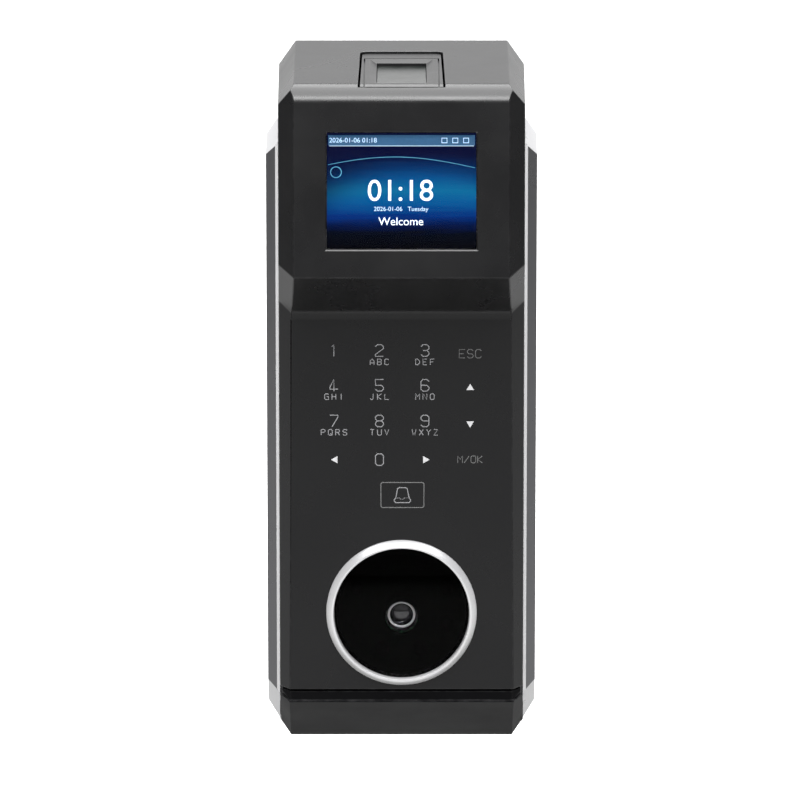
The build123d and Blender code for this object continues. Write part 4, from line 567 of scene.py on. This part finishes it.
def stroke_lines(word, height, pitch, x, z):
    """The pen lines of a word, centred on a place on the keypad, in metres."""
    unit = height / 6
    lines = []
    for index, letter in enumerate(word):
        left = x + (index - (len(word) - 1) / 2) * pitch - 2 * unit
        for run in STROKES[letter].split("|"):
            lines.append([(left + int(p[0]) * unit, z - height / 2 + int(p[1]) * unit) for p in run.split()])
    return lines


def printed(name, lines, width, finish, closed=False):
    """Lines of ink on the keypad face, a few hundredths of a millimetre thick."""
    curve = bpy.data.curves.new(name, "CURVE")
    curve.dimensions = "3D"
    curve.bevel_depth = width / 2
    curve.bevel_resolution = 2
    curve.use_fill_caps = True
    for line in lines:
        spline = curve.splines.new("POLY")
        spline.points.add(len(line) - 1)
        for point, (x, z) in zip(spline.points, line):
            point.co = (x, 0.0, z, 1.0)
        spline.use_cyclic_u = closed
    mesh = outlined_mesh(name, curve)
    mesh.transform(Matrix.Translation((0, -KEY_FACE, 0)) @ Matrix.Diagonal((1, INK_FLATNESS, 1, 1)))
    return shown(name, mesh, "terminal", finish)


INK = surface("legend_ink", ((0.26, 0.26, 0.27), (0.34, 0.34, 0.35)), (0.45, 0.6), patch=700.0)
FAINT_INK = surface("faint_ink", ((0.13, 0.13, 0.13), (0.18, 0.18, 0.18)), (0.45, 0.6), patch=700.0)
COLUMNS = (-0.0265, -0.00866, 0.00917, 0.0269)
ROWS = (0.0303, 0.01625, 0.0018, -0.0139)
DIGIT_HEIGHT = 0.0047
LETTER_HEIGHT = 0.0023
LETTER_PITCH = 0.00285
LETTERS_BELOW = 0.0046         # from a digit's middle to its letters'
DIGITS = {"1": (0, 0), "2": (1, 0), "3": (2, 0), "4": (0, 1), "5": (1, 1), "6": (2, 1), "7": (0, 2),
          "8": (1, 2), "9": (2, 2), "0": (1, 3)}
digit_lines = []
for digit, (column, row) in DIGITS.items():
    digit_lines += stroke_lines(digit, DIGIT_HEIGHT, 0.0, COLUMNS[column], ROWS[row])
printed("key_digits", digit_lines, 0.0004, INK)
LETTERS = {"ABC": (1, 0), "DEF": (2, 0), "GHI": (0, 1), "JKL": (1, 1), "MNO": (2, 1), "PQRS": (0, 2),
           "TUV": (1, 2), "WXYZ": (2, 2)}
letter_lines = []
for word, (column, row) in LETTERS.items():
    letter_lines += stroke_lines(word, LETTER_HEIGHT, LETTER_PITCH, COLUMNS[column],
                                 ROWS[row] - LETTERS_BELOW)
printed("key_letters", letter_lines, 0.00034, INK)
printed("key_escape", stroke_lines("ESC", 0.0034, 0.0032, COLUMNS[3], 0.0290), 0.0003, FAINT_INK)
printed("key_confirm", stroke_lines("M/OK", 0.0028, 0.0026, COLUMNS[3], -0.0138), 0.0003, FAINT_INK)


def arrow_keys():
    """Four small solid triangles that move a cursor."""
    bm = bmesh.new()
    places = ((COLUMNS[3], 0.0152, 0), (COLUMNS[3], 0.0008, 180),
              (-0.0260, ROWS[3], 90), (0.0093, ROWS[3], -90))
    for x, z, turn in places:
        made = bmesh.ops.create_circle(bm, cap_ends=True, segments=3, radius=0.0017)
        turned = Matrix.Translation((x, -KEY_FACE, z)) @ Matrix.Rotation(radians(-turn), 4, "Y")
        stand = Matrix.Rotation(pi / 2, 4, "X")
        bmesh.ops.transform(bm, matrix=turned @ stand, verts=made["verts"])
    bmesh.ops.solidify(bm, geom=bm.faces[:], thickness=0.00004)
    sharp = [edge for edge in bm.edges if edge.calc_face_angle(0) > radians(40)]
    bmesh.ops.bevel(bm, geom=sharp, offset=0.000008, segments=1, profile=0.5, affect="EDGES", material=-1)
    bmesh.ops.recalc_face_normals(bm, faces=bm.faces)
    front = min(vert.co.y for vert in bm.verts)
    bmesh.ops.translate(bm, vec=(0, -KEY_FACE - 0.00003 - front, 0), verts=bm.verts)
    return closed_mesh("key_arrows", bm)


shown("key_arrows", arrow_keys(), "terminal",
      surface("arrow_ink", ((0.62, 0.62, 0.63), (0.72, 0.72, 0.73)), (0.45, 0.6), patch=700.0))

BELL_X = 0.00035
BELL_Z = -0.0283
frame_lines = [[(BELL_X + x * 0.00845, BELL_Z + z * 0.0051) for x, z in
                ((-1, -0.9), (-0.94, -1), (0.94, -1), (1, -0.9), (1, 0.9), (0.94, 1), (-0.94, 1), (-1, 0.9))]]
printed("bell_frame", frame_lines, 0.00042, FAINT_INK, closed=True)
bell_lines = [
    [(-1.3, 3.0), (1.3, 3.0), (1.9, 2.6), (2.6, -1.2), (3.2, -1.9), (3.2, -2.5), (2.6, -3.1), (-2.6, -3.1),
     (-3.2, -2.5), (-3.2, -1.9), (-2.6, -1.2), (-1.9, 2.6)],
    [(-2.6, -1.2), (-1.1, -1.2), (-0.9, -1.7), (0.3, -1.7), (0.6, -1.2), (2.6, -1.2), (0.6, -1.2), (0.3, -1.7),
     (-0.9, -1.7), (-1.1, -1.2)],
]
bell_lines = [[(BELL_X + x * 0.001, BELL_Z + z * 0.001) for x, z in line] for line in bell_lines]
printed("bell_mark", bell_lines, 0.0004, INK, closed=True)

# ------------------------------------------------------------------ palm reader
# A turned and polished ring pressed into the face, a dark filter glass inside it,
# and behind that a camera lens with eight infrared lamps round it.

PALM_Z = (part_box("palm_glass")[0].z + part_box("palm_glass")[1].z) / 2
LENS_Z = (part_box("palm_lens")[0].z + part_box("palm_lens")[1].z) / 2


def turned_piece(name, profile, z, steps=144, smooth_under=35.0):
    """An outline of (radius, depth) in millimetres, spun about an axis square to the wall."""
    bm = bmesh.new()
    corners = [bm.verts.new((radius / 1000, -depth / 1000, z)) for radius, depth in profile]
    edges = [bm.edges.new(pair) for pair in zip(corners, corners[1:])]
    if profile[0][0] > 0:
        edges.append(bm.edges.new((corners[-1], corners[0])))
    bmesh.ops.spin(bm, geom=corners + edges, cent=(0, 0, z), axis=(0, 1, 0), angle=2 * pi, steps=steps,
                   use_merge=True)
    bmesh.ops.remove_doubles(bm, verts=bm.verts, dist=1e-6)
    bmesh.ops.recalc_face_normals(bm, faces=bm.faces)
    for face in bm.faces:
        face.smooth = True
    for edge in bm.edges:
        edge.smooth = edge.calc_face_angle(0) < radians(smooth_under)
    return closed_mesh(name, bm)


def polished_metal_with_painted_light():
    """Bright trim metal with painted light and shade: paler on what faces down and darker on what faces up,
    evening out the light from above.
    """
    made = surface("polished_ring", ((0.50, 0.50, 0.51), (0.97, 0.97, 0.97)), (0.26, 0.34), metallic=0.35,
                   grain=(2600.0, 0.000004), patch=60.0)
    tree = made.node_tree
    facing = node(tree, "ShaderNodeNewGeometry")
    axes = node(tree, "ShaderNodeSeparateXYZ", {0: facing.outputs["True Normal"]})
    # Painted light and shade: the colour runs from pale on faces turned down to dark on faces turned up.
    under = node(tree, "ShaderNodeMapRange", {"Value": axes.outputs["Z"], 1: 0.45, 2: -0.25})
    toned_by(made, under.outputs[0])
    return made


BEZEL_METAL = polished_metal_with_painted_light()
ring_profile = [
    (25.5, 63.0), (27.9, 63.0), (27.9, 68.0), (29.7, 68.0), (29.7, 68.35), (29.62, 68.6), (29.3, 69.05),
    (28.8, 69.65), (28.3, 70.2), (27.95, 70.55), (27.65, 70.8), (27.3, 70.9), (27.0, 70.82), (26.82, 70.6),
    (26.72, 70.2), (26.7, 69.0), (26.7, 66.8), (25.5, 66.8),
]
ring = shown("polished_ring", turned_piece("polished_ring", ring_profile, PALM_Z), "terminal",
             BEZEL_METAL)
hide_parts("palm_bezel")


def filter_glass():
    """Smoked glass, printed black on the back except for a clearing over the lens."""
    made = bpy.data.materials.new("filter_glass")
    made.use_nodes = True
    tree = made.node_tree
    shader = tree.nodes["Principled BSDF"]
    shader.inputs["Transmission Weight"].default_value = 1.0
    shader.inputs["IOR"].default_value = 1.16
    place = node(tree, "ShaderNodeTexCoord")
    parts = node(tree, "ShaderNodeSeparateXYZ", {0: place.outputs["Object"]})
    flat = node(tree, "ShaderNodeCombineXYZ", {0: parts.outputs["X"], 2: parts.outputs["Z"]})
    away = node(tree, "ShaderNodeVectorMath", {0: flat.outputs[0], 1: (0, 0, LENS_Z)}, operation="DISTANCE")
    clearing = node(tree, "ShaderNodeMapRange", {"Value": away.outputs["Value"], 1: 0.0060, 2: 0.0068},
                    interpolation_type="SMOOTHSTEP")
    specks = node(tree, "ShaderNodeTexNoise",
                  {"Vector": place.outputs["Object"], "Scale": 120.0, "Detail": 5.0})
    smoke = mixed(tree, specks.outputs["Fac"], (0.030, 0.028, 0.030), (0.045, 0.040, 0.045))
    colour = mixed(tree, clearing.outputs[0], (0.92, 0.92, 0.93), smoke)
    tree.links.new(colour, shader.inputs["Base Color"])
    film = between(tree, specks.outputs["Fac"], 0.0, 0.03)
    tree.links.new(film, shader.inputs["Roughness"])
    return made


glass_profile = [(0, 66.8), (26.55, 66.8), (26.55, 68.1), (26.48, 68.24), (26.35, 68.3), (0, 68.3)]
window = shown("filter_window", turned_piece("filter_window", glass_profile, PALM_Z), "terminal",
               filter_glass())
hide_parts("palm_glass")
BARREL = surface("barrel_plastic", ((0.014, 0.014, 0.015), (0.022, 0.022, 0.023)), (0.22, 0.34),
                 grain=(2600.0, 0.00001), patch=200.0, wear_and_sheen=(0.20, 0.20, 0.20), wear_and_sheen_radius=0.0002)
rounded_copy("palm_barrel", "lens_barrel", "terminal", BARREL, 0.00012, limit=35)
LENS_GLASS = surface("coated_lens", ((0.006, 0.006, 0.009), (0.010, 0.008, 0.012)), (0.02, 0.05),
                     grain=(300.0, 0.0000005), patch=300.0, IOR=1.95, Coat_Weight=1.0)
lens_profile = [(0, 59.0), (4.85, 59.0), (4.85, 61.3), (4.7, 61.42), (4.2, 61.68), (3.5, 61.99), (2.8, 62.2),
                (2.1, 62.38), (1.4, 62.5), (0.7, 62.57), (0, 62.6)]
lens = shown("front_lens", turned_piece("front_lens", lens_profile, LENS_Z, steps=96, smooth_under=50),
             "terminal", LENS_GLASS)
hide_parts("palm_lens")
retainer_profile = [(4.55, 63.0), (5.45, 63.0), (5.45, 63.2), (5.35, 63.32), (5.15, 63.4), (4.85, 63.4),
                    (4.65, 63.32), (4.55, 63.2)]
shown("lens_retainer", turned_piece("lens_retainer", retainer_profile, LENS_Z, steps=96), "terminal",
      BEZEL_METAL)
LAMP = surface("lamp_epoxy", ((0.05, 0.012, 0.03), (0.08, 0.02, 0.045)), (0.08, 0.14), grain=(900.0, 0.000004),
               patch=300.0, Coat_Weight=0.5)
dress("palm_ir_leds", LAMP)

# ------------------------------------------------------------------ finger reader
# A black insert in the top steers the fingertip down onto the upper face of a glass
# prism; the optics below it are hidden in a light-tight box.

GUIDE_BLACK = surface("guide_plastic", ((0.0050, 0.0050, 0.0055), (0.0070, 0.0070, 0.0075)), (0.26, 0.34),
                      grain=(3800.0, 0.0000025), patch=40.0, wear_and_sheen=(0.03, 0.03, 0.032))
dress("finger_guide", GUIDE_BLACK)
PRISM = surface("prism_glass", ((0.008, 0.010, 0.009), (0.012, 0.014, 0.013)), (0.20, 0.26),
                grain=(500.0, 0.000001), patch=160.0)


def ground_prism():
    """The glass prism with flat polished faces and a fine chamfer on every edge."""
    bm = bmesh.new()
    bm.from_mesh(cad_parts["finger_prism"].data)
    bmesh.ops.remove_doubles(bm, verts=bm.verts, dist=1e-6)
    bmesh.ops.dissolve_limit(bm, angle_limit=radians(0.1), verts=bm.verts, edges=bm.edges)
    bmesh.ops.bevel(bm, geom=bm.edges[:], offset=0.0002, segments=2, profile=0.5, affect="EDGES", material=-1)
    bmesh.ops.recalc_face_normals(bm, faces=bm.faces)
    for face in bm.faces:
        face.smooth = False
    return closed_mesh("finger_window", bm)


window_block = shown("finger_window", ground_prism(), "terminal", PRISM)
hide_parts("finger_prism")

# ------------------------------------------------------------------ studio
# A pale floor well below the terminal, a broad soft light overhead, a soft panel
# behind and a smaller one in front and above.

FLOOR_Z = -0.30


def stage_floor():
    """A floor that shines pale to the camera and throws only a little light upward."""
    bm = bmesh.new()
    bmesh.ops.create_grid(bm, x_segments=12, y_segments=12, size=9.0)
    bmesh.ops.translate(bm, vec=(0, 0, FLOOR_Z), verts=bm.verts)
    mesh = closed_mesh("floor", bm)
    floor = bpy.data.objects.new("floor", mesh)
    bpy.context.scene.collection.objects.link(floor)
    painted_light_mask = surface("pale_floor", ((0.86, 0.86, 0.86), (0.88, 0.88, 0.88)), (0.8, 0.9), patch=2.0,
                   grain=(40.0, 0.0001))
    tree = painted_light_mask.node_tree
    shader = tree.nodes["Principled BSDF"]
    seen = node(tree, "ShaderNodeLightPath")
    place = node(tree, "ShaderNodeTexCoord")
    under = node(tree, "ShaderNodeVectorMath", {0: place.outputs["Object"], 1: (0, -0.01, FLOOR_Z)},
                 operation="DISTANCE")
    card = node(tree, "ShaderNodeMapRange", {"Value": under.outputs["Value"], 1: 0.10, 2: 0.22},
                interpolation_type="SMOOTHSTEP")
    dim = mixed(tree, card.outputs[0], (0.26, 0.26, 0.26), (0.17, 0.17, 0.17))
    colour = mixed(tree, seen.outputs["Is Camera Ray"], dim, shader.inputs["Base Color"].links[0].from_socket)
    tree.links.new(colour, shader.inputs["Base Color"])
    mesh.materials.append(painted_light_mask)


stage_floor()


def soft_light(name, size, place, target, power):
    """A rectangular soft light at a place, aimed at a target."""
    lamp = bpy.data.lights.new(name, "AREA")
    lamp.shape = "RECTANGLE"
    lamp.size, lamp.size_y = size
    lamp.energy = power
    holder = bpy.data.objects.new(name, lamp)
    holder.location = place
    holder.rotation_euler = (Vector(target) - Vector(place)).to_track_quat("-Z", "Y").to_euler()
    holder.visible_camera = False
    bpy.context.scene.collection.objects.link(holder)


soft_light("overhead", (2.6, 3.2), (0, 0.0, 1.6), (0, 0.0, 0), 170)
soft_light("behind", (3.6, 2.8), (0, 2.2, 0.9), (0, 0, 0.9), 26)
soft_light("front_key", (1.2, 0.8), (0, -2.3, 1.9), (0, 0, 0), 45)

world = bpy.data.worlds.new("studio")
world.use_nodes = True
background = world.node_tree.nodes["Background"]
background.inputs["Color"].default_value = (1, 1, 1, 1)
background.inputs["Strength"].default_value = 0.2
bpy.context.scene.world = world
bpy.context.scene.view_settings.view_transform = "Standard"

# ------------------------------------------------------------------ camera
# A long lens three metres away, looking slightly down at the keypad.

PITCH = radians(14.5)
eye = bpy.data.cameras.new("camera")
eye.lens = 355.9
eye.sensor_width = 36.0
eye.clip_start = 0.1
eye.clip_end = 60.0
camera = bpy.data.objects.new("camera", eye)
camera.location = (-0.0006, -3.0693, 0.7865)
camera.rotation_euler = (pi / 2 - PITCH, 0, 0)
bpy.context.scene.collection.objects.link(camera)
bpy.context.scene.camera = camera
